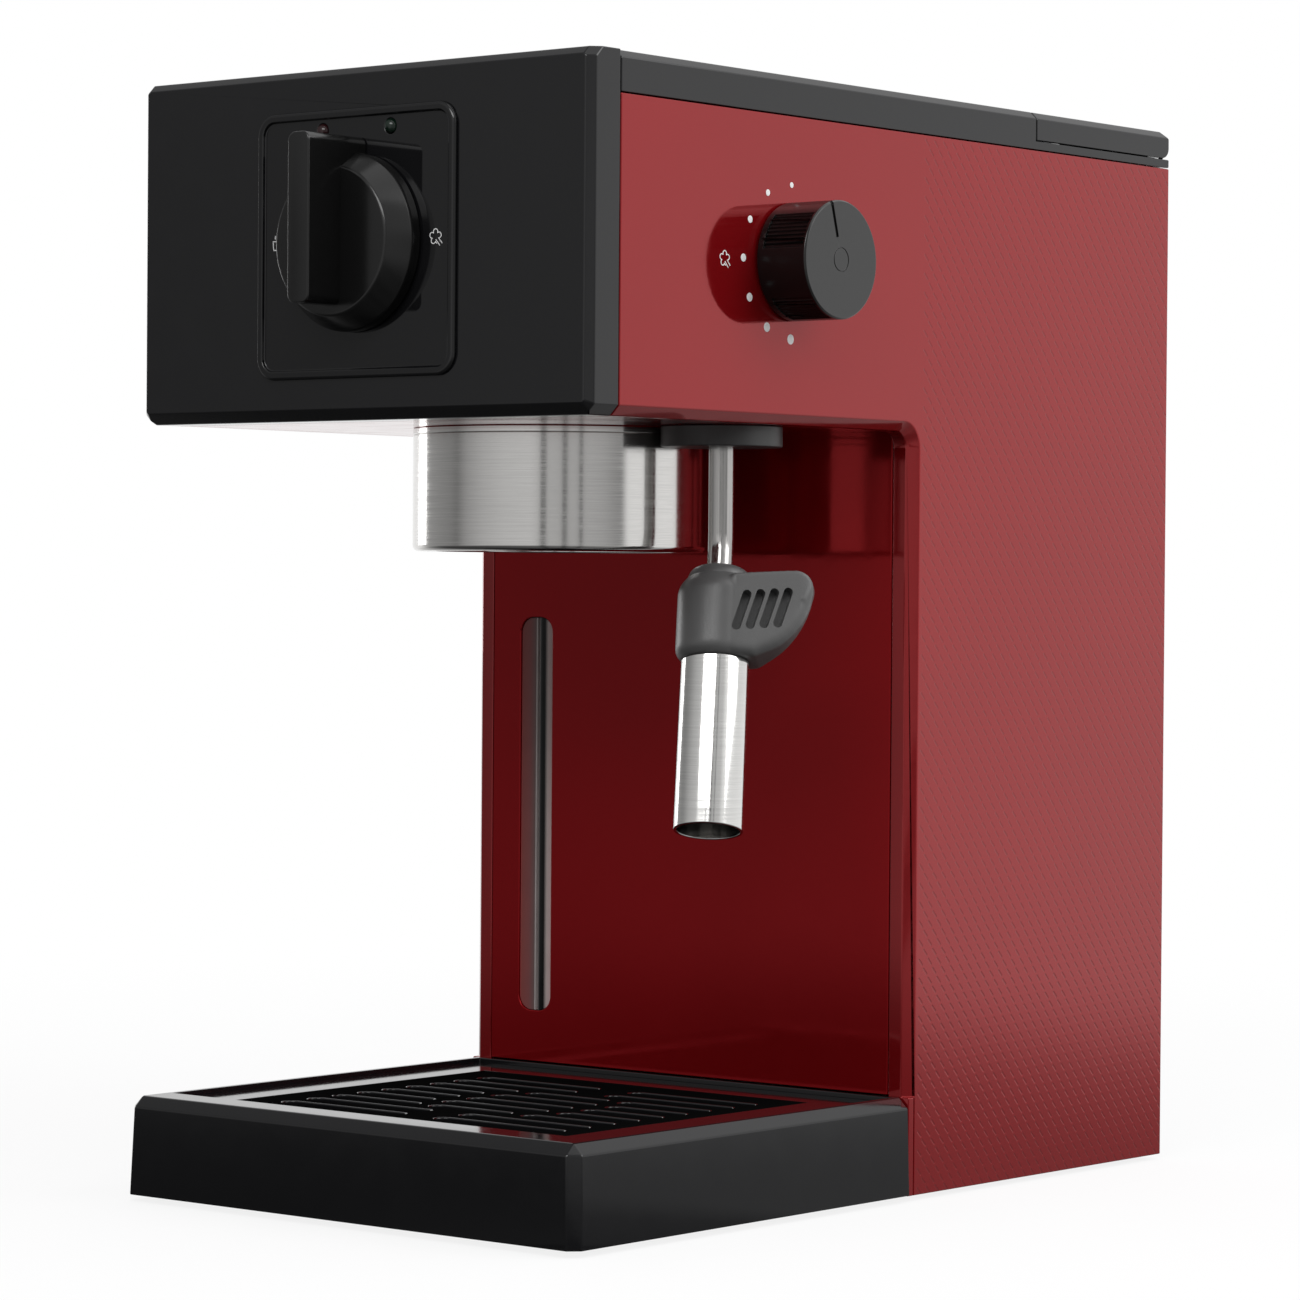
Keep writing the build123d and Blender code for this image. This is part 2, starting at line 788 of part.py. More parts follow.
def group_collar():
    top = head_z - flange_height
    collar = rod_z(0, group_y, collar_z, top, collar_radius)
    collar = fillet(collar.edges().group_by(Axis.Z)[0], collar_fillet)
    collar -= rod_z(0, group_y, collar_z + collar_lip, top + past, collar_radius - collar_wall)
    return collar - rod_z(0, group_y, collar_z - past, collar_z + collar_lip + past, collar_lip_radius)


def group_ring():
    z0 = collar_z + collar_lip + ring_lift
    ring = ring_z(0, group_y, z0, boiler_z, ring_outer, ring_inner)
    groove_z = z0 + lug_depth
    ring -= ring_z(0, group_y, groove_z, groove_z + lug_groove, lug_slot_radius, ring_inner - past)
    y0 = group_y - lug_slot_width / 2
    y1 = group_y + lug_slot_width / 2
    slots = block(-lug_slot_radius, lug_slot_radius, y0, y1, z0 - past, groove_z)
    return ring - (slots & rod_z(0, group_y, z0 - past, groove_z, lug_slot_radius))


def gasket_outer():
    return ring_inner - screen_gap


def group_gasket():
    outer = gasket_outer()
    return ring_z(0, group_y, boss_z - gasket_height, boss_z, outer, outer - gasket_wall)


def shower_screen():
    radius = gasket_outer() - gasket_wall - screen_gap
    z0 = boss_z - screen_depth
    screen = rod_z(0, group_y, z0, boss_z, radius)
    screen -= rod_z(0, group_y, z0 + screen_wall, boss_z + past, radius - screen_wall)
    screen -= rod_z(0, group_y, z0 - past, boss_z, screw_radius + shaft_gap)
    holes = []
    for step, count in enumerate(screen_hole_rings):
        for spot in PolarLocations(screen_ring_pitch * (step + 1), count):
            x, y, _ = spot.position
            holes.append(rod_z(x, group_y + y, z0 - past, z0 + screen_wall + past, screen_hole_radius))
    return screen - holes


def screen_screw():
    under = boss_z - screen_depth
    screw = rod_z(0, group_y, under - screw_head, under, screw_head_radius)
    return screw + rod_z(0, group_y, under, under + screw_length, screw_radius)


def bolt_places():
    return [spot.position for spot in PolarLocations(bolt_circle, bolt_count, start_angle=180 / bolt_count)]


def boiler_lower():
    boiler = rod_z(0, group_y, boiler_z, joint_z, boiler_radius)
    boiler += rod_z(0, group_y, boss_z, boiler_z, gasket_outer())
    boiler += rod_z(0, group_y, boiler_z, boiler_z + base_flange, base_flange_radius)
    boiler += rod_z(0, group_y, joint_z - joint_flange, joint_z, joint_flange_radius)
    port_end = group_y + base_flange_radius + port_reach
    boiler += rod_y(pump_x, head_z + pressure_rise, group_y, port_end, tube_radius + port_wall)
    # the base flange is cut back where the wand's nut needs room
    nut_room = wand_nut_flats / 2 / cos(pi / wand_nut_sides) + hole_gap
    boiler -= rod_z(wand_x, group_y, boiler_z - past, boiler_z + base_flange + past, nut_room)
    boiler -= rod_z(0, group_y, boiler_z + boiler_wall, joint_z + past, boiler_radius - boiler_wall)
    boiler -= rod_y(pump_x, head_z + pressure_rise, group_y, port_end + past, tube_bore)
    bore_top = boss_z - screen_depth + screw_length
    boiler -= rod_z(0, group_y, boss_z - past, bore_top, screw_radius + shaft_gap)
    for spot in bolt_places():
        hole_z = joint_z - joint_flange
        boiler -= rod_z(spot.X, group_y + spot.Y, hole_z - past, joint_z + past, bolt_radius + shaft_gap)
    return boiler


def boiler_seal():
    outer = boiler_radius
    return ring_z(0, group_y, joint_z, upper_z, outer, outer - seal_width)


def boiler_upper():
    boiler = rod_z(0, group_y, upper_z, boiler_top, boiler_radius)
    boiler += rod_z(0, group_y, upper_z, upper_z + joint_flange, joint_flange_radius)
    boiler += rod_x(group_y, valve_z, 0, boiler_radius + port_reach, port_radius)
    boiler -= rod_z(0, group_y, upper_z - past, boiler_top - boiler_wall, boiler_radius - boiler_wall)
    boiler -= rod_x(group_y, valve_z, 0, boiler_radius + port_reach + past, tube_bore)
    for spot in bolt_places():
        hole_top = upper_z + joint_flange
        boiler -= rod_z(spot.X, group_y + spot.Y, upper_z - past, hole_top + past, bolt_radius + shaft_gap)
    return boiler


def boiler_bolts():
    bolts = []
    for spot in bolt_places():
        x, y = spot.X, group_y + spot.Y
        head_under = upper_z + joint_flange
        bolt = rod_z(x, y, joint_z - joint_flange, head_under, bolt_radius)
        bolts.append(bolt + rod_z(x, y, head_under, head_under + bolt_head, bolt_head_radius))
    return bolts


def heating_element():
    top = boiler_top + element_height
    element = ring_z(0, group_y, boiler_top, top, element_outer, element_inner)
    middle = (element_inner + element_outer) / 2
    for side in (-1, 1):
        element += rod_z(side * middle, group_y, top, top + terminal_height, terminal_radius)
    return element


def thermostat():
    return rod_z(0, group_y, boiler_top, boiler_top + thermostat_height, thermostat_radius)


def thermal_fuse():
    z = boiler_top + fuse_radius
    fuse = rod_x(group_y + fuse_offset, z, -fuse_length / 2, fuse_length / 2, fuse_radius)
    y0 = group_y + fuse_offset - fuse_radius
    saddle = block(-fuse_radius, fuse_radius, y0, y0 + 2 * fuse_radius, boiler_top, z)
    return fuse + saddle


def valve_span():
    x1 = wand_x + valve_length / 2
    return x1 - valve_length, x1


def steam_valve_body():
    x0, x1 = valve_span()
    reach = valve_size / 2
    body = block(x0, x1, group_y - reach, group_y + reach, valve_z - reach, valve_z + reach)
    body += rod_x(group_y, valve_z, x1, inner_half, valve_shoulder_radius)
    body += rod_x(group_y, valve_z, inner_half, half, valve_stem_radius)
    return body - rod_x(group_y, valve_z, wand_x, half + past, shaft_radius + shaft_gap)


def steam_valve_spindle():
    return rod_x(group_y, valve_z, wand_x, half + knob_gap + knob_hub_depth, shaft_radius)


def knob_face():
    # the knob's axis with X outwards and the pointer turned from upright
    return Pos(half, group_y, valve_z) * Rot(knob_pointer_turn, 0, 0)


def steam_knob():
    knob = rod_x(0, 0, knob_gap, knob_reach, knob_radius)
    knob = chamfer(knob.faces().sort_by(Axis.X)[-1].edges(), knob_chamfer)
    grooves = []
    for group in range(rib_groups):
        middle = 360 / rib_groups * (group + 0.5)
        for rib in range(ribs_per_group):
            turn = middle + (rib - (ribs_per_group - 1) / 2) * rib_pitch
            groove = rod_x(0, knob_radius, knob_ring, knob_reach - knob_chamfer, rib_groove_radius)
            grooves.append(Rot(turn, 0, 0) * groove)
    knob -= grooves
    reach = pointer_width / 2
    knob -= block(knob_reach - pointer_depth, knob_reach + past, -reach, reach,
                  knob_radius - pointer_length, knob_radius + past)
    mark = rod_x(0, 0, knob_reach - mark_width, knob_reach + past, mark_radius)
    mark -= rod_x(0, 0, knob_reach - mark_width, knob_reach + past, mark_radius - mark_width)
    knob -= mark
    knob -= rod_x(0, 0, 0, knob_gap + knob_hub_depth, shaft_radius + shaft_gap)
    return knob_face() * knob


def steam_tube():
    x0, _ = valve_span()
    start = boiler_radius + port_reach
    tube = rod_x(group_y, valve_z, start, x0, tube_radius)
    return tube - rod_x(group_y, valve_z, start - past, x0 + past, tube_bore)


def wand_feed_tube():
    return ring_z(wand_x, group_y, head_z + wand_stem_rise, valve_z - valve_size / 2, tube_radius, tube_bore)


def wand_flange():
    flange = rod_z(wand_x, group_y, head_z - wand_flange_height, head_z, wand_flange_radius)
    flange += rod_z(wand_x, group_y, head_z, head_z + wand_stem_rise, wand_stem_radius)
    return flange - rod_z(wand_x, group_y, head_z - wand_flange_height - past, head_z + pipe_top_rise,
                          pipe_radius + shaft_gap)


def wand_nut():
    hexagon = RegularPolygon(wand_nut_flats / 2, wand_nut_sides, major_radius=False)
    nut = extrude(Pos(wand_x, group_y, boiler_z) * hexagon, wand_nut_height)
    nut_top = boiler_z + wand_nut_height
    return nut - rod_z(wand_x, group_y, boiler_z - past, nut_top + past, wand_stem_radius + shaft_gap)


def wand_frame():
    # at the pipe's bend: Z up along the leaning pipe, X along the grip's fin
    heading = radians(wand_heading)
    lean = radians(wand_lean)
    upward = (-sin(lean) * cos(heading), -sin(lean) * sin(heading), cos(lean))
    fin = (-sin(heading), cos(heading), 0)
    return Plane(origin=(wand_x, group_y, head_z - kink_drop), x_dir=fin, z_dir=upward)


def steam_pipe():
    frame = wand_frame()
    start = (wand_x, group_y, head_z + pipe_top_rise - seam_gap)
    end = frame.from_local_coords(Vector(0, 0, -pipe_end))
    return bent_tube([start, frame.origin, end], kink_radius, pipe_radius, pipe_bore)


def fin_taper():
    # half angle between the fin's flanks, which run off the round body
    return asin((grip_radius - fin_thickness / 2) / (fin_reach - fin_thickness / 2))


def fin_flank(x):
    return (grip_radius - x * sin(fin_taper())) / cos(fin_taper())


def grip_fin():
    tip = (fin_reach, -fin_top)
    foot = (grip_radius, -grip_bottom)
    edges = [
        Polyline((0, -grip_bottom), (0, -fin_root), tip),
        ThreePointArc(tip, (fin_belly_x, -fin_belly_z), foot),
        Line(foot, (0, -grip_bottom)),
    ]
    side_view = make_face(edges)
    side_view = fillet(side_view.vertices().sort_by(Axis.X)[-1], fin_round)
    tip_circle = Pos(fin_reach - fin_thickness / 2, 0) * Circle(fin_thickness / 2)
    plan = make_hull(Circle(grip_radius).edges() + tip_circle.edges())
    fin = extrude(Pos(0, 0, -grip_bottom) * plan, grip_bottom)
    return fin & extrude(Plane.XZ * side_view, grip_radius, both=True)


def wand_grip():
    profile = [
        (0, -grip_top),
        (grip_neck_radius, -grip_top),
        (grip_radius, -grip_shoulder),
        (grip_radius, -grip_bottom),
        (spigot_radius_of_grip(), -grip_bottom),
        (spigot_radius_of_grip(), -grip_bottom - spigot_length),
        (0, -grip_bottom - spigot_length),
    ]
    body = revolve(Plane.XZ * make_face(Polyline(*profile, close=True)), Axis.Z)
    grip = body + grip_fin()
    slant = radians(fin_slot_slant)
    for side in (-1, 1):
        for step in range(fin_slots):
            x = fin_slot_x + (step - (fin_slots - 1) / 2) * fin_slot_pitch
            spot = (x, side * (fin_flank(x) - fin_slot_depth), -fin_slot_z)
            mouth = Plane(origin=spot, x_dir=(sin(slant), 0, cos(slant)), z_dir=(0, side, 0))
            grip -= extrude(mouth * SlotOverall(fin_slot_length, fin_slot_width), grip_radius)
    grip -= rod_z(0, 0, -pipe_end, 0, pipe_radius + shaft_gap)
    grip -= rod_z(0, 0, -grip_bottom - spigot_length - past, -pipe_end, tip_bore)
    return wand_frame().location * grip


def spigot_radius_of_grip():
    return sleeve_radius - sleeve_wall - slip_gap


def steam_tip():
    start = -grip_bottom - spigot_length
    tip = rod_z(0, 0, start - tip_length, start, tip_radius)
    cone_z = start - tip_length - tip_cone / 2
    tip += Pos(0, 0, cone_z) * Cone(tip_end_radius, tip_radius, tip_cone)
    tip -= rod_z(0, 0, start - tip_length - tip_cone - past, start + past, tip_bore)
    return wand_frame().location * tip


def frother_sleeve():
    start = -grip_bottom - seam_gap
    sleeve = ring_z(0, 0, -sleeve_end, start, sleeve_radius, sleeve_radius - sleeve_wall)
    return wand_frame().location * sleeve


def coil_span():
    z0 = base_z + pump_rise + coil_rise
    return z0, z0 + coil_height


def pump_body():
    z0 = base_z + pump_rise
    z1 = z0 + pump_length
    body = rod_z(pump_x, pump_y, z0, z1, pump_radius)
    body += rod_z(pump_x, pump_y, z0 - pump_spigot, z0, spigot_radius)
    return body + rod_z(pump_x, pump_y, z1, z1 + pump_spigot, spigot_radius)


def pump_coil():
    z0, z1 = coil_span()
    dx, dy = coil_width / 2, coil_depth / 2
    coil = block(pump_x - dx, pump_x + dx, pump_y - dy, pump_y + dy, z0, z1)
    return coil - rod_z(pump_x, pump_y, z0 - past, z1 + past, pump_radius + shaft_gap)


def pump_bracket():
    z0, z1 = coil_span()
    middle = (z0 + z1) / 2
    dx = coil_width / 2
    reach = bracket_height / 2
    y0 = bulkhead_y - bracket_wall
    return block(pump_x - dx, pump_x + dx, y0, bulkhead_y, middle - reach, middle + reach)


def pump_mounts():
    z0, z1 = coil_span()
    y0, y1 = pump_y + coil_depth / 2, bulkhead_y - bracket_wall
    middle = (z0 + z1) / 2
    return [rod_y(pump_x, middle + side * mount_spacing / 2, y0, y1, mount_radius) for side in (-1, 1)]


def suction_hose():
    start = (pump_x, tank_centre_y() - socket_radius - socket_outlet, hose_z)
    corner = (pump_x, pump_y, hose_z)
    end = (pump_x, pump_y, base_z + pump_rise - pump_spigot)
    return bent_tube([start, corner, end], hose_bend, hose_radius, hose_bore)


def pressure_tube():
    start = (pump_x, pump_y, base_z + pump_rise + pump_length + pump_spigot)
    corner = (pump_x, pump_y, head_z + pressure_rise)
    end = (pump_x, group_y + base_flange_radius + port_reach, head_z + pressure_rise)
    return bent_tube([start, corner, end], tube_bend, tube_radius, tube_bore)


def tray_back():
    return column_y - tray_slide_gap


def drip_tray():
    z0 = base_z + seam_gap
    lower_half = half + tray_side_reach
    y0 = front - tray_overhang
    y1 = tray_back()
    spare = tray_height
    outline = Pos(0, (y0 + y1 + spare) / 2, z0) * Rectangle(2 * lower_half, y1 + spare - y0)
    tray = extrude(outline, tray_top - z0, taper=tray_draft)
    tray -= block(-body_width, body_width, y1, y1 + 2 * spare, z0 - past, tray_top + past)
    rim = tray.faces().sort_by(Axis.Z)[-1].edges().sort_by(Axis.Y)[:-1]
    across = tray.faces().sort_by(Axis.Y)[0].edges().sort_by(Axis.X)
    tray = chamfer(rim + [across[0], across[-1]], tray_chamfer)
    x1, ya, yb = grid_plan()
    tray -= block(-x1, x1, ya, yb, grid_z - grid_thickness - grid_gap / 2, tray_top + past)
    ledge = tray_ledge
    floor_z = base_z + tongue_height + seam_gap
    tray -= block(ledge - x1, x1 - ledge, ya + ledge, yb - ledge, floor_z + tray_floor, tray_top)
    tongue_front = front + tongue_setback - past
    tray -= block(-tongue_half - past, tongue_half + past, tongue_front, y1 + past, z0 - past, floor_z)
    return tray


def grid_plan():
    # well in the tray's top where the grid lies
    reach = half - tray_chamfer - tray_rim
    well_front = front - tray_overhang + tray_chamfer + tray_front_bar
    return reach, well_front, tray_back() - tray_rim


def row_slots(row, reach):
    paired = {0: inner_bridge_x, 1: inner_bridge_x, 2: outer_bridge_x}
    offset = paired.get(abs(row))
    if offset is None:
        bridges = [(0, middle_bridge)]
    else:
        bridges = [(-offset, side_bridge), (offset, side_bridge)]
    start = -reach
    spans = []
    for middle, width in bridges:
        spans.append((start, middle - width / 2))
        start = middle + width / 2
    spans.append((start, reach))
    return spans


def drip_grid():
    x1, ya, yb = grid_plan()
    x1, ya, yb = x1 - grid_gap, ya + grid_gap, yb - grid_gap
    grid = block(-x1, x1, ya, yb, grid_z - grid_thickness, grid_z)
    margin = grid_field_margin
    field_front = ya + margin - tray_front_bar
    field_z = grid_z - grid_field_depth
    grid -= block(margin - x1, x1 - margin, field_front, yb - margin, field_z, grid_z + past)
    middle_y = (ya + yb - tray_front_bar) / 2
    reach = x1 - margin - slot_end_margin
    slots = []
    for row in range(-slot_rows_each_side, slot_rows_each_side + 1):
        y = middle_y + row * slot_pitch
        for start, end in row_slots(row, reach):
            slot = SlotOverall(end - start, slot_width)
            place = Pos((start + end) / 2, y, grid_z - grid_thickness - past)
            slots.append(extrude(place * slot, grid_thickness + 2 * past))
    return grid - slots


def power_lamp():
    return lamp(*lamp_places()[0])


def ready_lamp():
    return lamp(*lamp_places()[1])


makers = [
    base_pan, rubber_feet, inner_chassis, left_side_panel, right_side_panel, front_fascia, dial_plate,
    top_cover, column_front_panel, level_window, sight_duct, head_floor, rear_cover, casing_screws,
    cord_gland, terminal_block, selector_switch, selector_shaft, function_dial, power_lamp, ready_lamp,
    steam_valve_body, steam_valve_spindle, steam_knob, steam_tube, wand_feed_tube, wand_flange, wand_nut,
    steam_pipe, wand_grip, steam_tip, frother_sleeve, collar_flange, group_collar, group_ring,
    group_gasket, shower_screen, screen_screw, boiler_lower, boiler_seal, boiler_upper, boiler_bolts,
    heating_element, thermostat, thermal_fuse, pump_body, pump_coil, pump_bracket, pump_mounts,
    suction_hose, pressure_tube, tank_socket, water_tank, tank_valve, tank_lid, lid_hinge_pin,
    drip_tray, drip_grid,
]

# The frame's origin lies on the ground under the middle of the whole machine
middle_x = (knob_reach - tray_side_reach) / 2
middle_y = (front - bar_reach + back) / 2
standing_place = Pos(-middle_x, -middle_y, 0)

os.makedirs("parts", exist_ok=True)
for maker in makers:
    made = maker()
    if isinstance(made, list):
        shape = Compound(children=[standing_place * piece for piece in made])
    else:
        shape = standing_place * made
    export_step(shape, f"parts/{maker.__name__}.step")
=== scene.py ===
import json
from math import asin, cos, pi, radians, sin, tan

import bmesh
import bpy
from mathutils import Matrix, Vector

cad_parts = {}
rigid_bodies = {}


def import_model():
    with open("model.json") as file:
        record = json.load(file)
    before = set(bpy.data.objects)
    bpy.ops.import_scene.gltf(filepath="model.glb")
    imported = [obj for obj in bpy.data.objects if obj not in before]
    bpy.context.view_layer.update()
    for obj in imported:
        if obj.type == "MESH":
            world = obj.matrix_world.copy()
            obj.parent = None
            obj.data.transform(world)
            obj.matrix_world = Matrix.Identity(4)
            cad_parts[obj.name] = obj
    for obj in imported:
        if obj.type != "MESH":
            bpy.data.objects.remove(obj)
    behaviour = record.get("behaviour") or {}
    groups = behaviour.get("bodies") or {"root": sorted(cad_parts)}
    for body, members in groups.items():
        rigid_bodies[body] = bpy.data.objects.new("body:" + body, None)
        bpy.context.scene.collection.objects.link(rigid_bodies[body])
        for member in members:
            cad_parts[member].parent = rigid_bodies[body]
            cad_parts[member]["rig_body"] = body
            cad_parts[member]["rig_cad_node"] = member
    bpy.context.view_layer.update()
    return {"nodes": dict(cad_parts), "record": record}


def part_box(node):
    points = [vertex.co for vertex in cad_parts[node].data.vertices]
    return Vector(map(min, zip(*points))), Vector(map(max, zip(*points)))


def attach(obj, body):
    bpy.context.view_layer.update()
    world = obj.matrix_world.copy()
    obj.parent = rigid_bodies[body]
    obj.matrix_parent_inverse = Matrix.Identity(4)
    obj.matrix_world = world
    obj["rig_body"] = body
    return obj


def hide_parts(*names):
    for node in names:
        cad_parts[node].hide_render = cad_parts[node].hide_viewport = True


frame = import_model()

nodes = frame["nodes"]
bodies = frame["record"]["behaviour"]["bodies"]
bodyOf = {node: body for body, members in bodies.items() for node in members}
slotOf = {row["node"]: row["material_slot"] for row in frame["record"]["subparts"]}
mm = 0.001
near = 0.001 * mm  # points closer than this are one point
cadNear = 0.002 * mm  # the same for the corners of a CAD node


def middleOf(node):
    low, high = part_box(node)
    return (low + high) / 2


# places that many pieces share, all read from the frame
fasciaLow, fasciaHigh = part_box("front_fascia")
midX = middleOf("front_fascia").x
frontY = fasciaLow.y
headZ = fasciaLow.z
sideX = fasciaHigh.x
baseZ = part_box("left_side_panel")[0].z
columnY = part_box("column_front_panel")[0].y
groupAxis = middleOf("group_collar")
dialMid = Vector((midX, frontY, middleOf("dial_plate").z))
knobMid = middleOf("steam_knob")
wandMid = middleOf("wand_flange")
print("frame loaded,", len(nodes), "nodes")


# selecting and shaping by hand

def deselect():
    bpy.ops.object.select_all(action="DESELECT")


def chooseOnly(*pieces):
    deselect()
    for piece in pieces:
        piece.select_set(True)
    bpy.context.view_layer.objects.active = pieces[0]


def editOn(piece):
    chooseOnly(piece)
    bpy.ops.object.mode_set(mode="EDIT")
    bpy.ops.mesh.select_all(action="SELECT")


def editOff():
    bpy.ops.object.mode_set(mode="OBJECT")


def middleOfPart(part):
    if isinstance(part, bmesh.types.BMEdge):
        return (part.verts[0].co + part.verts[1].co) / 2
    return part.calc_center_median()


def choose(piece, kind, test):
    # selects the vertices, edges or faces that pass the test
    bpy.ops.mesh.select_mode(type=kind)
    bpy.ops.mesh.select_all(action="DESELECT")
    net = bmesh.from_edit_mesh(piece.data)
    parts = {"VERT": net.verts, "EDGE": net.edges, "FACE": net.faces}[kind]
    for part in parts:
        if test(part):
            part.select_set(True)
    bmesh.update_edit_mesh(piece.data)


def tidyMesh():
    # in edit mode: closes seams and turns all faces outwards
    bpy.ops.mesh.select_mode(type="VERT")
    bpy.ops.mesh.select_all(action="SELECT")
    bpy.ops.mesh.remove_doubles(threshold=near)
    bpy.ops.mesh.normals_make_consistent(inside=False)


roundSteps = 8  # faces in a rounded corner


def drawLine(name, spots):
    # a chain of edges through the spots; a spot is (x, y, z, round) and round may be left out
    deselect()
    bpy.ops.mesh.primitive_plane_add(size=mm, location=(0, 0, 0))
    piece = bpy.context.object
    piece.name = name
    bpy.ops.object.mode_set(mode="EDIT")
    bpy.ops.mesh.select_mode(type="VERT")
    bpy.ops.mesh.select_all(action="SELECT")
    bpy.ops.mesh.merge(type="CENTER")
    bpy.ops.transform.translate(value=spots[0][:3])
    for last, spot in zip(spots, spots[1:]):
        step = Vector(spot[:3]) - Vector(last[:3])
        bpy.ops.mesh.extrude_vertices_move(TRANSFORM_OT_translate={"value": step})
    for spot in spots:
        if len(spot) > 3:
            corner = Vector(spot[:3])
            choose(piece, "VERT", lambda part: (part.co - corner).length < near)
            bpy.ops.mesh.bevel(offset=spot[3], segments=roundSteps, affect="VERTICES")
    bpy.ops.mesh.select_all(action="SELECT")
    return piece


def lathe(name, profile, steps):
    # turns a profile of (radius, height, round) about Z
    spots = [(spot[0], 0, spot[1], *spot[2:]) for spot in profile]
    piece = drawLine(name, spots)
    bpy.ops.mesh.spin(steps=steps, angle=2 * pi, center=(0, 0, 0), axis=(0, 0, 1))
    tidyMesh()
    editOff()
    return piece


def slab(name, outline, low, high):
    # an outline of (x, y, round) pulled up from low to high;
    # the chain starts and ends within the outline's last side
    first = Vector(outline[0][:2])
    last = Vector(outline[-1][:2])
    chain = [first.lerp(last, 0.49), *outline, first.lerp(last, 0.51)]
    spots = [(spot[0], spot[1], low, *spot[2:]) for spot in chain]
    piece = drawLine(name, spots)
    bpy.ops.mesh.edge_face_add()
    bpy.ops.mesh.extrude_region_move(TRANSFORM_OT_translate={"value": (0, 0, high - low)})
    tidyMesh()
    editOff()
    return piece


def rectangle(left, bottom, right, top, *corner):
    # the outline of a slab; corner is the round of its corners and may be left out
    spots = ((left, bottom), (right, bottom), (right, top), (left, top))
    return [(*spot, *corner) for spot in spots]


def place(piece, matrix):
    # puts the piece where it belongs, with its place in its mesh
    chooseOnly(piece)
    piece.matrix_world = matrix
    bpy.ops.object.transform_apply(location=True, rotation=True, scale=True)
    return piece


def facingFront(x, y, z):
    # local Z points to the front, local Y up
    return Matrix(((1, 0, 0, x), (0, 0, -1, y), (0, 1, 0, z), (0, 0, 0, 1)))


def facingRight(x, y, z):
    # local Z points to the right, local Y up
    return Matrix(((0, 0, 1, x), (1, 0, 0, y), (0, 1, 0, z), (0, 0, 0, 1)))


def facingBack(x, y, z):
    # local Z points to the back, local Y up
    return Matrix(((-1, 0, 0, x), (0, 0, 1, y), (0, 1, 0, z), (0, 0, 0, 1)))


def applyModifier(piece, kind, **settings):
    chooseOnly(piece)
    step = piece.modifiers.new(kind.title(), kind)
    for key, value in settings.items():
        setattr(step, key, value)
    bpy.ops.object.modifier_apply(modifier=step.name)


def combine(piece, other, operation):
    applyModifier(piece, "BOOLEAN", object=other, operation=operation, solver="EXACT")
    chooseOnly(other)
    bpy.ops.object.delete()
    return piece


def softEdges(piece, width, segments=3, angle=30):
    # breaks the sharp edges; the flat faces stay flat in the light
    applyModifier(piece, "BEVEL", width=width, segments=segments, limit_method="ANGLE",
                  angle_limit=radians(angle), use_clamp_overlap=False, miter_outer="MITER_SHARP")
    smooth(piece)
    applyModifier(piece, "WEIGHTED_NORMAL", keep_sharp=True)


def smooth(piece, angle=35):
    chooseOnly(piece)
    bpy.ops.object.shade_smooth_by_angle(angle=radians(angle))


def joinAll(pieces, name):
    chooseOnly(*pieces)
    bpy.ops.object.join()
    joined = bpy.context.object
    joined.name = name
    return joined


def coat(piece, look):
    # the piece has this one finish
    piece.data.materials.clear()
    piece.data.materials.append(finishes[look])


def standFor(piece, node, look):
    # the piece takes over the node's body and place, in the finish it is given
    coat(piece, look)
    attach(piece, bodyOf[node])
    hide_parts(node)


def markOn(piece, body):
    # a printed mark that stands for no node
    coat(piece, "inkWhite")
    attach(piece, body)


def copyOf(node):
    # a merged copy of a node's mesh, left in edit mode
    chooseOnly(nodes[node])
    bpy.ops.object.duplicate(linked=False)
    piece = bpy.context.object
    editOn(piece)
    bpy.ops.mesh.remove_doubles(threshold=cadNear)
    return piece


# shader sums written as plain expressions

class Wire:
    def __init__(self, bench, socket):
        self.bench = bench
        self.socket = socket

    def __add__(self, other):
        return self.bench.math("ADD", self, other)

    def __radd__(self, other):
        return self.bench.math("ADD", other, self)

    def __sub__(self, other):
        return self.bench.math("SUBTRACT", self, other)

    def __rsub__(self, other):
        return self.bench.math("SUBTRACT", other, self)

    def __mul__(self, other):
        return self.bench.math("MULTIPLY", self, other)

    def __truediv__(self, other):
        return self.bench.math("DIVIDE", self, other)


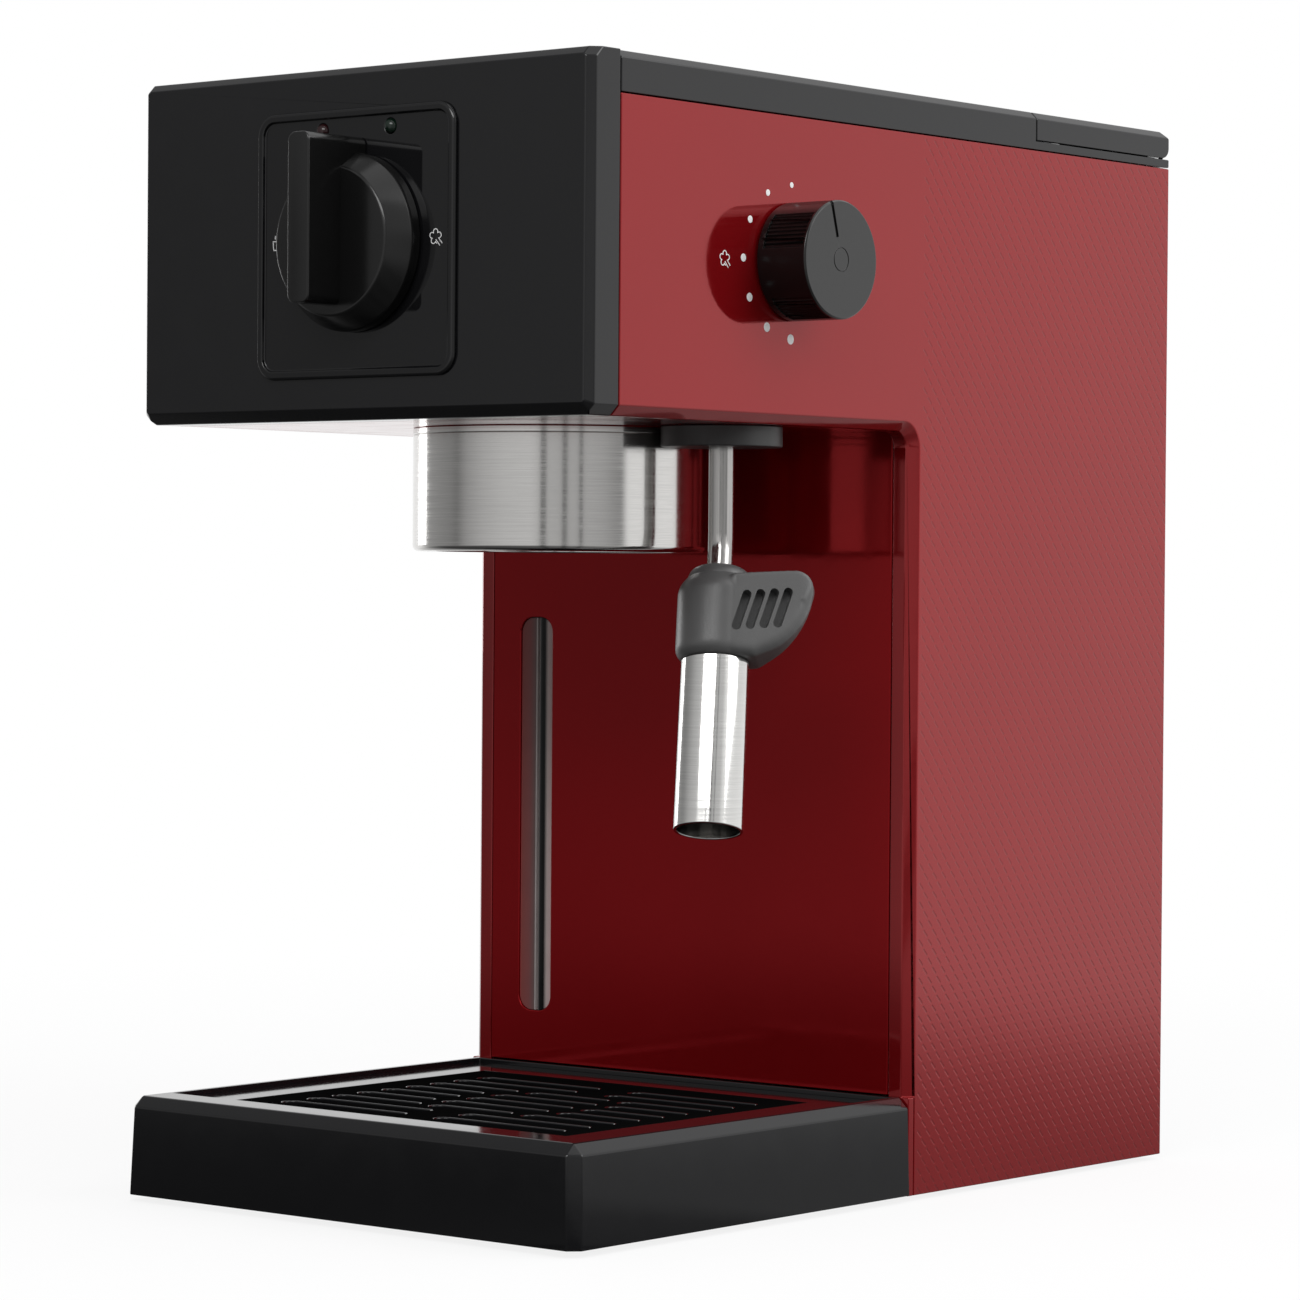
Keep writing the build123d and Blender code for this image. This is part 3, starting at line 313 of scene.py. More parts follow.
class NodeBench:
    # a node tree with one method for every kind of node
    def __init__(self, tree):
        self.tree = tree

    def node(self, kind, settings, inputs, output=0):
        made = self.tree.nodes.new(kind)
        for key, value in settings.items():
            if key == "stops":
                self.setStops(made.color_ramp, value)
            else:
                setattr(made, key, value)
        for key, value in inputs.items():
            if isinstance(value, Wire):
                self.tree.links.new(value.socket, made.inputs[key])
            else:
                made.inputs[key].default_value = value
        return Wire(self, made.outputs[output]) if len(made.outputs) else None

    def outputs(self, wire, *names):
        # more outputs of the node that a wire comes from
        return [Wire(self, wire.socket.node.outputs[name]) for name in names]

    def setStops(self, ramp, stops):
        while len(ramp.elements) < len(stops):
            ramp.elements.new(1)
        for element, (spot, colour) in zip(ramp.elements, stops):
            element.position = spot
            element.color = colour

    def math(self, operation, first, second=0.0):
        return self.node("ShaderNodeMath", {"operation": operation}, {0: first, 1: second})

    def noise(self, where, scale, detail, roughness):
        sizes = {"Vector": where, "Scale": scale, "Detail": detail, "Roughness": roughness}
        return self.node("ShaderNodeTexNoise", {"noise_dimensions": "3D"}, sizes)

    def stretched(self, where, scale):
        return self.node("ShaderNodeMapping", {}, {"Vector": where, "Scale": scale})

    def ramp(self, value, stops):
        return self.node("ShaderNodeValToRGB", {"stops": stops}, {"Fac": value})

    def band(self, value, low, high, fromLow=0.0, fromHigh=1.0):
        # spreads a value over a range
        sizes = {"Value": value, 1: fromLow, 2: fromHigh, 3: low, 4: high}
        return self.node("ShaderNodeMapRange", {"interpolation_type": "SMOOTHSTEP"}, sizes)

    def rays(self):
        # rays that see the studio as it is, and those that mirror it
        camera = self.node("ShaderNodeLightPath", {}, {}, "Is Camera Ray")
        glossy, through = self.outputs(camera, "Is Glossy Ray", "Is Transmission Ray")
        return self.math("MINIMUM", camera + through, 1.0), glossy

    def turnOf(self, outward):
        return self.node("ShaderNodeTexGradient", {"gradient_type": "RADIAL"}, {"Vector": outward}, 1)

    def colourMix(self, factor, first, second):
        return self.node("ShaderNodeMix", {"data_type": "RGBA"}, {0: factor, 6: first, 7: second}, 2)


class Finish(NodeBench):
    # one material: fixed values on the shader, wires for what varies
    def __init__(self, name, fixed):
        self.material = bpy.data.materials.new(name)
        self.material.use_nodes = True
        super().__init__(self.material.node_tree)
        self.shader = self.tree.nodes["Principled BSDF"]
        for key, value in fixed.items():
            self.shader.inputs[key].default_value = value
        self.place = self.node("ShaderNodeTexCoord", {}, {}, "Object")

    def feed(self, socket, wire):
        self.tree.links.new(wire.socket, self.shader.inputs[socket])

    def tint(self, factor, first, second):
        self.feed("Base Color", self.colourMix(factor, first, second))

    def roughen(self, factor, low, high, *span):
        self.feed("Roughness", self.band(factor, low, high, *span))

    def bump(self, height, depth):
        sizes = {"Strength": 1.0, "Distance": depth, "Height": height}
        self.feed("Normal", self.node("ShaderNodeBump", {}, sizes))

    def grain(self, size, detail=2, roughness=0.5):
        # noise with spots of about this size
        return self.noise(self.place, 1 / size, detail, roughness)

    def axes(self):
        split = self.node("ShaderNodeSeparateXYZ", {}, {"Vector": self.place})
        return self.outputs(split, "X", "Y", "Z")


def grey(level):
    return (level, level, level, 1)


def shade(colour, factor):
    return tuple(min(1.0, part * factor) for part in colour[:3]) + (1,)


# most of a noise's values lie between these
midNoise = (0.3, 0.7)
wideNoise = (0.25, 0.75)


def varied(paint, colour, spread, size):
    # a colour that drifts a little over patches of this size
    drift = paint.grain(size, detail=3)
    paint.tint(drift, shade(colour, 1 - spread), shade(colour, 1 + spread))


peelSize = 2.2 * mm  # the orange peel of moulded gloss


def polishedPlastic(name, colour, look):
    # moulded gloss: faint flow marks in the colour and a soft orange peel
    paint = Finish(name, {"Specular IOR Level": look.get("specular", 0.5),
                          "Metallic": look.get("pearl", 0.0), "Coat Weight": look.get("coat", 0.0)})
    varied(paint, colour, spread=0.05, size=60 * mm)
    smear = paint.grain(9 * mm, detail=4)
    dull = look["gloss"] + look.get("wipe", 0.05)
    paint.roughen(smear, look["gloss"], dull, *midNoise)
    peel = paint.grain(peelSize, detail=1)
    paint.bump(peel, look.get("peel", 0.004 * mm))
    return paint


def grainedPlastic(name, colour, look):
    # spark-eroded tool finish: fine grain in bump and roughness
    paint = Finish(name, {"IOR": 1.5})
    varied(paint, colour, look.get("spread", 0.08), size=12 * mm)
    grain = paint.grain(look["grain"], detail=3, roughness=0.6)
    paint.roughen(grain, look["rough"] - 0.06, look["rough"] + 0.06, *wideNoise)
    paint.bump(grain, look["depth"])
    return paint


def brushedMetal(name, colour, look):
    # streaks of constant height run round a turned piece
    metal = Finish(name, {"Metallic": 1.0})
    where = metal.stretched(metal.place, look["streak"])
    streaks = metal.noise(where, scale=1.0, detail=4, roughness=0.65)
    pale = metal.band(streaks, 0.0, 1.0, *midNoise)
    metal.tint(pale, shade(colour, 0.93), shade(colour, 1.06))
    metal.roughen(streaks, look["rough"] - 0.05, look["rough"] + 0.08, *midNoise)
    metal.bump(streaks, look["depth"])
    return metal


def castMetal(name, colour, look):
    metal = Finish(name, {"Metallic": 1.0})
    varied(metal, colour, spread=0.12, size=8 * mm)
    grain = metal.grain(0.6 * mm, detail=4, roughness=0.6)
    metal.roughen(grain, look["rough"] - 0.08, look["rough"] + 0.1, *wideNoise)
    metal.bump(grain, look["depth"])
    return metal


redPaint = (0.31, 0.0055, 0.0085, 1)
blackPaint = (0.008, 0.008, 0.009, 1)
pearl = 0.5  # the red is lightly metallic, so what it mirrors turns red

# across the level window: flat wall, then a painted highlight at the step, the rod's dark middle and a
# painted reflection on the rod's right side
windowPaintedBands = [
    (0.02, (0.45, 0.08, 0.08, 1)), (0.06, (0.31, 0.078, 0.07, 1)), (0.28, (0.28, 0.09, 0.09, 1)),
    (0.46, (0.19, 0.125, 0.122, 1)), (0.487, (0.66, 0.6, 0.59, 1)), (0.52, (0.5, 0.45, 0.44, 1)),
    (0.57, (0.22, 0.19, 0.19, 1)), (0.62, grey(0.001)), (0.77, grey(0.001)),
    (0.85, (0.6, 0.5, 0.48, 1)), (0.96, (0.74, 0.55, 0.54, 1)),
]

dashes = {
    "start": columnY + 4 * mm,
    "column": 2.1 * mm,
    "row": 5.2 * mm,
    "long": 1.25 * mm,
    "wide": 0.3 * mm,
    "edge": 0.22 * mm,
    "depth": 0.04 * mm,
    # how much darker the dashes are painted: painted shade in their hollows
    "dashShade": 0.35,
    "peel": 0.1,
}
slanted = 0.5 ** 0.5  # the dashes lie at 45 degrees


def panelRed():
    # gloss red with rows of fine slanted dashes pressed into the column's sides
    paint = polishedPlastic("panelRed", redPaint, {"gloss": 0.05, "pearl": pearl, "coat": 0.34})
    _, y, z = paint.axes()
    across = (y - dashes["start"]) / dashes["column"]
    column = paint.math("FLOOR", across)
    odd = paint.math("MODULO", column, 2.0) * 0.5
    up = z / dashes["row"] + odd
    dy = (paint.math("FRACT", across) - 0.5) * dashes["column"]
    dz = (paint.math("FRACT", up) - 0.5) * dashes["row"]
    along = paint.math("ABSOLUTE", (dy - dz) * slanted)
    aside = paint.math("ABSOLUTE", (dy + dz) * slanted)
    edge = dashes["edge"]
    body = paint.band(along, 1.0, 0.0, dashes["long"] - edge, dashes["long"] + edge)
    line = paint.band(aside, 1.0, 0.0, dashes["wide"] - edge, dashes["wide"] + edge)
    behind = paint.math("GREATER_THAN", y, dashes["start"])
    peel = paint.grain(peelSize, detail=1)
    mark = body * line * behind
    paint.bump(peel * dashes["peel"] - mark, dashes["depth"])
    plain = Wire(paint, paint.shader.inputs["Base Color"].links[0].from_socket)
    # painted shade: the pressed dashes are darkened in the colour
    paint.tint(mark * dashes["dashShade"], plain, shade(redPaint, 0.4))
    return paint.material


# drip grid: a matt field, let in a little, in a glossy border
grid = {
    "margin": 16 * mm,
    "frontMargin": 5 * mm,
    "deep": 0.4 * mm,
    "skin": 0.003 * mm,  # only the field's flat is matt
    "fieldColour": grey(0.003),
    "cover": 0.9,
    "speckle": 0.1,
    "gloss": 0.09,
    "matt": 0.2,
    "grain": 0.35 * mm,
    "grainDeep": 0.01 * mm,
}
gridLow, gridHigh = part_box("drip_grid")
fieldLow = Vector((gridLow.x + grid["margin"], gridLow.y + grid["frontMargin"], 0))
fieldHigh = Vector((gridHigh.x - grid["margin"], gridHigh.y - grid["margin"], gridHigh.z - grid["deep"]))


def gridBlack():
    # matt slotted field; the border round it and the slots' edges are glossy
    paint = Finish("gridBlack", {"Specular IOR Level": 0.0, "Coat Roughness": 0.08})
    x, y, z = paint.axes()
    flat = paint.math("GREATER_THAN", z, fieldHigh.z - grid["skin"])
    flat = flat * paint.math("GREATER_THAN", x, fieldLow.x) * paint.math("LESS_THAN", x, fieldHigh.x)
    flat = flat * paint.math("GREATER_THAN", y, fieldLow.y) * paint.math("LESS_THAN", y, fieldHigh.y)
    grain = paint.grain(grid["grain"], detail=3, roughness=0.6)
    speckle = grain * grid["speckle"]
    matt = flat * (grid["cover"] + speckle)
    paint.tint(matt, blackPaint, grid["fieldColour"])
    paint.feed("Roughness", grid["gloss"] + flat * (grid["matt"] + speckle))
    paint.feed("Coat Weight", 1.0 - flat)
    paint.bump(grain * flat, grid["grainDeep"])
    return paint.material


faceDeep = 0.5 * mm  # the knob's face with its edge
sideCoat = 0.3  # the knob's side against its face


def knobSatin():
    # a bright satin face; the side is duller, so it hardly mirrors the red panel
    _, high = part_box("steam_knob")
    paint = Finish("knobSatin", {"Specular IOR Level": 0.1, "Coat Roughness": 0.2})
    varied(paint, grey(0.005), spread=0.08, size=12 * mm)
    grain = paint.grain(0.3 * mm, detail=3, roughness=0.6)
    paint.roughen(grain, 0.3, 0.4, *wideNoise)
    x, _, _ = paint.axes()
    face = paint.math("GREATER_THAN", x, high.x - faceDeep)
    paint.feed("Coat Weight", sideCoat + face * (1 - sideCoat))
    paint.bump(grain, 0.005 * mm)
    return paint.material


def lensPlastic(name, colour):
    lens = Finish(name, {"IOR": 1.49})
    swirl = lens.grain(1.2 * mm)
    lens.tint(swirl, shade(colour, 0.6), shade(colour, 1.3))
    lens.roughen(swirl, 0.05, 0.16)
    return lens.material


def smokedPlastic(name, colour, clear):
    clearFinish = Finish(name, {"IOR": 1.49, "Transmission Weight": clear})
    varied(clearFinish, colour, spread=0.06, size=50 * mm)
    wipe = clearFinish.grain(14 * mm, detail=4)
    clearFinish.roughen(wipe, 0.05, 0.12, *midNoise)
    return clearFinish.material


def windowLens():
    paint = Finish("windowSmokeAndPaintedLight", {"IOR": 1.49, "Specular IOR Level": 0.25})
    x, _, _ = paint.axes()
    low, high = windowSpan
    # the bands put a painted highlight and a painted reflection into the window's colour
    bands = paint.ramp((x - low.x) / (high.x - low.x), windowPaintedBands)
    smear = paint.grain(6 * mm, detail=3)
    paint.tint(smear * 0.2, bands, grey(0.05))
    paint.roughen(smear, 0.06, 0.14, *midNoise)
    return paint.material


def inkWhite():
    ink = Finish("inkWhite", {})
    grain = ink.grain(0.3 * mm)
    ink.tint(grain, grey(0.84), grey(0.94))
    ink.roughen(grain, 0.4, 0.6)
    return ink.material


windowFlange = Vector((2 * mm, 0, 2 * mm))  # hidden behind the column's panel
windowSpan = (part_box("level_window")[0] + windowFlange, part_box("level_window")[1] - windowFlange)

# how each finish looks: colour, then its own settings
plastics = {
    "plainRed": (redPaint, {"gloss": 0.05, "pearl": pearl, "specular": 0.2}),
    "blackGloss": (blackPaint, {"gloss": 0.07}),
    "plateGloss": (shade(blackPaint, 0.75), {"gloss": 0.02, "wipe": 0.02, "peel": 0.001 * mm}),
}
grains = {
    "dialSatin": (grey(0.005), {"grain": 0.22 * mm, "rough": 0.18, "depth": 0.005 * mm}),
    "gripGrey": (grey(0.1), {"grain": 0.4 * mm, "rough": 0.36, "depth": 0.035 * mm, "spread": 0.14}),
    "wandBlack": (grey(0.03), {"grain": 0.4 * mm, "rough": 0.42, "depth": 0.02 * mm}),
    "blackPlastic": (grey(0.015), {"grain": 0.5 * mm, "rough": 0.45, "depth": 0.02 * mm}),
    "greyPlastic": (grey(0.22), {"grain": 0.5 * mm, "rough": 0.45, "depth": 0.02 * mm}),
    "footRubber": (grey(0.02), {"grain": 0.3 * mm, "rough": 0.7, "depth": 0.03 * mm}),
    "silicone": ((0.45, 0.42, 0.4, 1), {"grain": 0.6 * mm, "rough": 0.5, "depth": 0.02 * mm}),
}
roundStreak = (60, 60, 5200)
fineStreak = (40, 40, 9000)
longStreak = (3000, 3000, 60)
brushes = {
    "collarSteel": ((0.66, 0.65, 0.635), {"streak": roundStreak, "rough": 0.11, "depth": 0.004 * mm}),
    "sleeveSteel": ((0.72, 0.715, 0.7), {"streak": fineStreak, "rough": 0.1, "depth": 0.001 * mm}),
    "pipeSteel": ((0.43, 0.42, 0.41), {"streak": longStreak, "rough": 0.16, "depth": 0.003 * mm}),
}
casts = {
    "zincSheet": ((0.55, 0.56, 0.57), {"rough": 0.38, "depth": 0.01 * mm}),
    "platedSteel": ((0.62, 0.61, 0.58), {"rough": 0.3, "depth": 0.006 * mm}),
    "brass": ((0.78, 0.56, 0.24), {"rough": 0.3, "depth": 0.008 * mm}),
    "boilerAlloy": ((0.6, 0.6, 0.6), {"rough": 0.45, "depth": 0.03 * mm}),
    "elementSteel": ((0.34, 0.33, 0.33), {"rough": 0.42, "depth": 0.012 * mm}),
}
finishes = {
    "panelRed": panelRed(),
    "gridBlack": gridBlack(),
    "tankSmoke": smokedPlastic("tankSmoke", (0.32, 0.33, 0.35, 1), 0.85),
    "windowSmokeAndPaintedLight": windowLens(),
    "lampRed": lensPlastic("lampRed", (0.022, 0.004, 0.005, 1)),
    "lampGreen": lensPlastic("lampGreen", (0.004, 0.014, 0.008, 1)),
    "inkWhite": inkWhite(),
    "knobSatin": knobSatin(),
}
makers = {polishedPlastic: plastics, grainedPlastic: grains, brushedMetal: brushes, castMetal: casts}
for maker, looks in makers.items():
    for name, (colour, look) in looks.items():
        finishes[name] = maker(name, colour, look).material
print("finishes ready,", len(finishes))

# every CAD node gets the finish of its slot first; pieces then stand for those that show
slotFinish = {
    "red_gloss": "plainRed", "black_gloss": "blackGloss", "black_satin": "dialSatin",
    "grip_grey": "gripGrey", "stainless": "collarSteel", "zinc_sheet": "zincSheet",
    "plated_steel": "platedSteel", "brass": "brass", "boiler_alloy": "boilerAlloy",
    "element_steel": "elementSteel", "rubber_black": "footRubber", "silicone": "silicone",
    "black_plastic": "blackPlastic", "grey_plastic": "greyPlastic", "tank_smoke": "tankSmoke",
    "window_smoke": "windowSmokeAndPaintedLight", "lamp_red": "lampRed", "lamp_green": "lampGreen",
}
for node, piece in nodes.items():
    coat(piece, slotFinish[slotOf[node]])
print("slots laid on", len(slotOf), "nodes")


# casing shells: the frame's own forms with broken edges
shells = {
    "left_side_panel": ("panelRed", 0.35 * mm),
    "right_side_panel": ("panelRed", 0.35 * mm),
    "column_front_panel": ("plainRed", 0.3 * mm),
    "head_floor": ("plainRed", 0.3 * mm),
    "front_fascia": ("blackGloss", 0.35 * mm),
    "top_cover": ("blackGloss", 0.35 * mm),
    "tank_lid": ("blackGloss", 0.35 * mm),
    "dial_plate": ("plateGloss", 0.4 * mm),
    "drip_tray": ("blackGloss", 0.35 * mm),
    "drip_grid": ("gridBlack", 0.38 * mm),
    "rear_cover": ("blackPlastic", 0.35 * mm),
    "base_pan": ("blackPlastic", 0.4 * mm),
    "wand_flange": ("wandBlack", 0.4 * mm),
    "collar_flange": ("collarSteel", 0.25 * mm),
    "cord_gland": ("blackPlastic", 0.4 * mm),
    "water_tank": ("tankSmoke", 0.3 * mm),
}
flatAngle = 0.6  # degrees; faces nearer to one plane than this become one


def buildShells():
    for node, (look, edge) in shells.items():
        piece = copyOf(node)
        bpy.ops.mesh.dissolve_limited(angle_limit=radians(flatAngle))
        editOff()
        piece.name = node + "_shell"
        bpy.ops.object.parent_clear(type="CLEAR_KEEP_TRANSFORM")
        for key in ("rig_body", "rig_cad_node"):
            del piece[key]
        softEdges(piece, edge)
        standFor(piece, node, look)
    print("shells done,", len(shells))


# level window: a flat wall beside a half-round rod that lies a step lower
window = {
    "gap": 0.15 * mm,
    "corner": 4.4 * mm,
    "wall": 0.2 * mm,
    "step": 0.5,
    "groove": 1.2 * mm,
    "rodWidth": 5.8 * mm,
    "rodSteps": 24,
}


def buildWindow():
    size = window
    low, high = windowSpan
    left, right = low.x + size["gap"], high.x - size["gap"]
    bottom, top = low.z + size["gap"], high.z - size["gap"]
    outline = rectangle(left, bottom, right, top, size["corner"])

    def pane(name, front):
        return place(slab(name, outline, -high.y, -front), facingFront(0, 0, 0))

    piece = pane("level_window_lens", low.y + size["wall"])
    step = left + (right - left) * size["step"]
    floorY = low.y + size["groove"]
    ahead = low.y - mm
    groove = slab("groove", rectangle(step, ahead, right + mm, floorY), bottom - mm, top + mm)
    combine(piece, groove, "DIFFERENCE")
    half = size["rodWidth"] / 2
    middle = right - half
    arc = [pi * share / size["rodSteps"] for share in range(size["rodSteps"] + 1)]
    rodLine = [(middle - half * cos(turn), floorY - size["groove"] * sin(turn)) for turn in arc]
    rodBack = floorY + mm
    rod = slab("rod", [(middle - half, rodBack), *rodLine, (middle + half, rodBack)], bottom, top)
    combine(rod, pane("ends", ahead), "INTERSECT")
    combine(piece, rod, "UNION")
    smooth(piece)
    standFor(piece, "level_window", "windowSmokeAndPaintedLight")
    print("window done")


# function dial: turned base and a grip bar
dial = {
    "gap": 0.8 * mm,
    "radius": 23.2 * mm,
    "flange": 3.9 * mm,
    "faceRadius": 19.3 * mm,
    "face": 10.1 * mm,
    "barWidth": 7.5 * mm,
    "barTop": 27.2 * mm,
    "barBottom": 16.7 * mm,
    "barReach": 22.0 * mm,
    "barCorner": 2.4 * mm,
    "barEdge": 0.5 * mm,
    "backEdge": 0.3 * mm,
    "shoulderRound": 0.6 * mm,
    "steps": 128,
}


def buildDial():
    size = dial
    base = lathe("function_dial_grip", [
        (0, size["gap"]),
        (size["radius"] - size["backEdge"], size["gap"]),
        (size["radius"], size["gap"] + size["backEdge"]),
        (size["radius"], size["flange"], size["shoulderRound"]),
        (size["faceRadius"], size["face"], size["shoulderRound"]),
        (0, size["face"]),
    ], size["steps"])
    half = size["barWidth"] / 2
    outline = rectangle(-half, -size["barBottom"], half, size["barTop"], size["barCorner"])
    bar = slab("bar", outline, size["gap"], size["barReach"])
    editOn(bar)
    front = size["barReach"] - near
    choose(bar, "EDGE", lambda part: middleOfPart(part).z > front)
    bpy.ops.mesh.bevel(offset=size["barEdge"], segments=4)
    editOff()
    piece = combine(base, bar, "UNION")
    smooth(piece, angle=30)
    place(piece, facingFront(dialMid.x, dialMid.y, dialMid.z))
    standFor(piece, "function_dial", "dialSatin")
    print("dial done")


# steam knob: ribbed rim, pointer groove and a small ring in the face
knob = {
    "radius": 15.5 * mm,
    "chamfer": 0.4 * mm,
    "chamferRound": 0.1 * mm,
    "backEdge": 0.3 * mm,
    "edge": 0.08 * mm,
    "ribGroups": 4,
    "ribs": 9,
    "ribPitch": 4.4,
    "ribRadius": 0.56 * mm,
    "ribFrom": 2.0 * mm,
    "ribShort": 1.0 * mm,
    "pointerTurn": 16,
    "pointerWidth": 1.0 * mm,
    "pointerLength": 9.5 * mm,
    "pointerDepth": 0.5 * mm,
    "markRadius": 3.2 * mm,
    "markWidth": 0.25 * mm,
    "steps": 180,
}


def buildKnob():
    size = knob
    back = size["backEdge"]
    chamfer = size["chamfer"]
    soft = size["chamferRound"]
    low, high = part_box("steam_knob")
    reach = high.x - low.x
    radius = size["radius"]
    mark = size["markRadius"]
    inside = mark - size["markWidth"]
    markLow = reach - size["markWidth"]
    piece = lathe("steam_knob_cap", [
        (0, 0), (radius - back, 0), (radius, back),
        (radius, reach - chamfer, soft), (radius - chamfer, reach, soft), (mark, reach),
        (mark, markLow), (inside, markLow), (inside, reach), (0, reach),
    ], size["steps"])
    grooveLow = size["ribFrom"]
    grooveHigh = reach - size["ribShort"]
    grooves = []
    for group in range(size["ribGroups"]):
        for rib in range(size["ribs"]):
            aside = (rib - (size["ribs"] - 1) / 2) * size["ribPitch"]
            turn = radians(360 / size["ribGroups"] * (group + 0.5) + aside)
            deselect()
            spot = (radius * sin(turn), radius * cos(turn), (grooveLow + grooveHigh) / 2)
            bpy.ops.mesh.primitive_cylinder_add(vertices=10, radius=size["ribRadius"],
                                                depth=grooveHigh - grooveLow, location=spot)
            grooves.append(bpy.context.object)
    combine(piece, joinAll(grooves, "grooves"), "DIFFERENCE")
    half = size["pointerWidth"] / 2
    inner = radius - size["pointerLength"]
    deep = reach - size["pointerDepth"]
    pointer = slab("pointer", rectangle(-half, inner, half, radius + mm), deep, reach + mm)
    combine(piece, pointer, "DIFFERENCE")
    softEdges(piece, size["edge"], segments=2, angle=40)

    def onDisc(part):
        spot = middleOfPart(part)
        return spot.xy.length < inside and spot.z > markLow

    editOn(piece)
    choose(piece, "FACE", onDisc)
    bpy.ops.mesh.faces_shade_flat()
    editOff()
    turned = Matrix.Rotation(radians(size["pointerTurn"]), 4, "Z")
    place(piece, facingRight(low.x, knobMid.y, knobMid.z) @ turned)
    standFor(piece, "steam_knob", "knobSatin")
    print("knob done")


# printed marks: seven dots that grow round the knob, and three plain icons
dots = {
    "ring": 20.2 * mm,
    "count": 7,
    "small": 1.5 * mm,
    "large": 2.7 * mm,
    "ink": 0.06 * mm,
    "round": 0.03 * mm,
    "steps": 32,
}


def buildDots():
    size = dots
    spots = []
    for step in range(size["count"]):
        share = step / (size["count"] - 1)
        radius = (size["small"] + (size["large"] - size["small"]) * share) / 2
        turn = pi * share
        profile = [(0, 0), (radius, 0), (radius, size["ink"], size["round"]), (0, size["ink"])]
        dot = lathe("dot", profile, size["steps"])
        y = knobMid.y - size["ring"] * sin(turn)
        z = knobMid.z + size["ring"] * cos(turn)
        spots.append(place(dot, facingRight(sideX, y, z)))
    piece = joinAll(spots, "steam_scale_dots")
    smooth(piece)
    markOn(piece, "casing")
    print("dots done")


icons = {
    "line": 0.25 * mm,
    "ink": 0.05 * mm,
    "cupX": -28.4 * mm,
    "cloudX": 28.0 * mm,
    "rise": 0.4 * mm,
    "plate": 0.4 * mm,
    "lobes": 5,
    "lobeRadius": 0.86 * mm,
    "lobeRing": 1.27 * mm,
    "cloudSteps": 80,
    "sideCloud": (53.5 * mm, 250.2 * mm),
    "mouth": (0, 0, 2.4, -2.7),
    "mouthWidth": 1.5 * mm,
    "jets": [(1.0, -0.3, 2.3, -1.75), (0.1, -0.7, 1.5, -2.3)],
    "cup": [
        (-1.25, 1.15, -1.0, -1.15), (-1.15, -1.15, 1.15, -1.15), (1.0, -1.15, 1.25, 1.15),
        (-1.375, 1.15, 1.375, 1.15), (1.25, 0.7, 2.15, 0.5), (2.05, 0.6, 1.75, -0.5),
        (1.85, -0.4, 1.05, -0.5), (-0.55, 1.7, -0.35, 2.7), (0.45, 1.7, 0.65, 2.7),
    ],
}


def stroke(ends, width, low, high):
    # a straight stroke of this width; its two ends are given in millimetres
    start = Vector(ends[:2]) * mm
    end = Vector(ends[2:]) * mm
    aside = (end - start).orthogonal().normalized() * width / 2
    corners = [start + aside, start - aside, end - aside, end + aside]
    return slab("stroke", [(spot.x, spot.y) for spot in corners], low, high)


def strokes(lines):
    return [stroke(ends, icons["line"], 0, icons["ink"]) for ends in lines]


def cloudOutline(inset):
    # round lobes about a middle, drawn in by the line's width
    size = icons
    spots = []
    for step in range(size["cloudSteps"]):
        turn = 2 * pi * step / size["cloudSteps"]
        share = 2 * pi / size["lobes"]
        aside = (turn - pi / 2 + share / 2) % share - share / 2  # from the nearest lobe's middle
        ring = size["lobeRing"]
        rise = max(0.0, (size["lobeRadius"] - inset) ** 2 - (ring * sin(aside)) ** 2) ** 0.5
        radius = ring * cos(aside) + rise
        spots.append((radius * cos(turn), radius * sin(turn)))
    return spots


def cloudIcon(name):
    # the outline of a cloud, open at the lower right where two jets leave it
    size = icons
    ink = size["ink"]
    icon = slab("cloud", cloudOutline(0), 0, ink)
    combine(icon, slab("inside", cloudOutline(size["line"]), -ink, 2 * ink), "DIFFERENCE")
    combine(icon, stroke(size["mouth"], size["mouthWidth"], -ink, 2 * ink), "DIFFERENCE")
    return joinAll([icon] + strokes(size["jets"]), name)


def cupIcon(name):
    # an open cup with an ear and two wisps
    return joinAll(strokes(icons["cup"]), name)


def buildIcons():
    size = icons
    plateY = frontY - size["plate"]
    z = dialMid.z + size["rise"]
    cup = place(cupIcon("brew_icon"), facingFront(midX + size["cupX"], plateY, z))
    cloud = place(cloudIcon("steam_icon"), facingFront(midX + size["cloudX"], plateY, z))
    back, up = size["sideCloud"]
    sideCloud = place(cloudIcon("steam_icon_side"), facingRight(sideX, frontY + back, baseZ + up))
    for icon in (cup, cloud, sideCloud):
        markOn(icon, "casing")
    print("icons done")


# pilot lamps: domed lenses on the plate
lamp = {"radius": 1.9 * mm, "dome": 1.3 * mm, "deep": 3.0 * mm, "domeSteps": 8, "steps": 48}


def buildLamps():
    size = lamp
    ball = (size["radius"] ** 2 + size["dome"] ** 2) / (2 * size["dome"])
    arc = [(0, -size["deep"]), (size["radius"], -size["deep"])]
    for step in range(size["domeSteps"]):
        height = size["dome"] * step / size["domeSteps"]
        arc.append(((ball ** 2 - (ball - size["dome"] + height) ** 2) ** 0.5, height))
    arc.append((0, size["dome"]))
    for node, look in (("power_lamp", "lampRed"), ("ready_lamp", "lampGreen")):
        piece = lathe(node + "_lens", arc, size["steps"])
        smooth(piece)
        spot = middleOf(node)
        place(piece, facingFront(spot.x, frontY - icons["plate"], spot.z))
        standFor(piece, node, look)
    print("lamps done")


# group collar: deep drawn steel with a rolled lower edge
collar = {
    "radius": 40.0 * mm,
    "wall": 2.0 * mm,
    "round": 1.6 * mm,
    "topEdge": 0.2 * mm,
    "lip": 2.0 * mm,
    "lipRadius": 34.0 * mm,
    "lipRound": 0.4 * mm,
    "steps": 160,
}


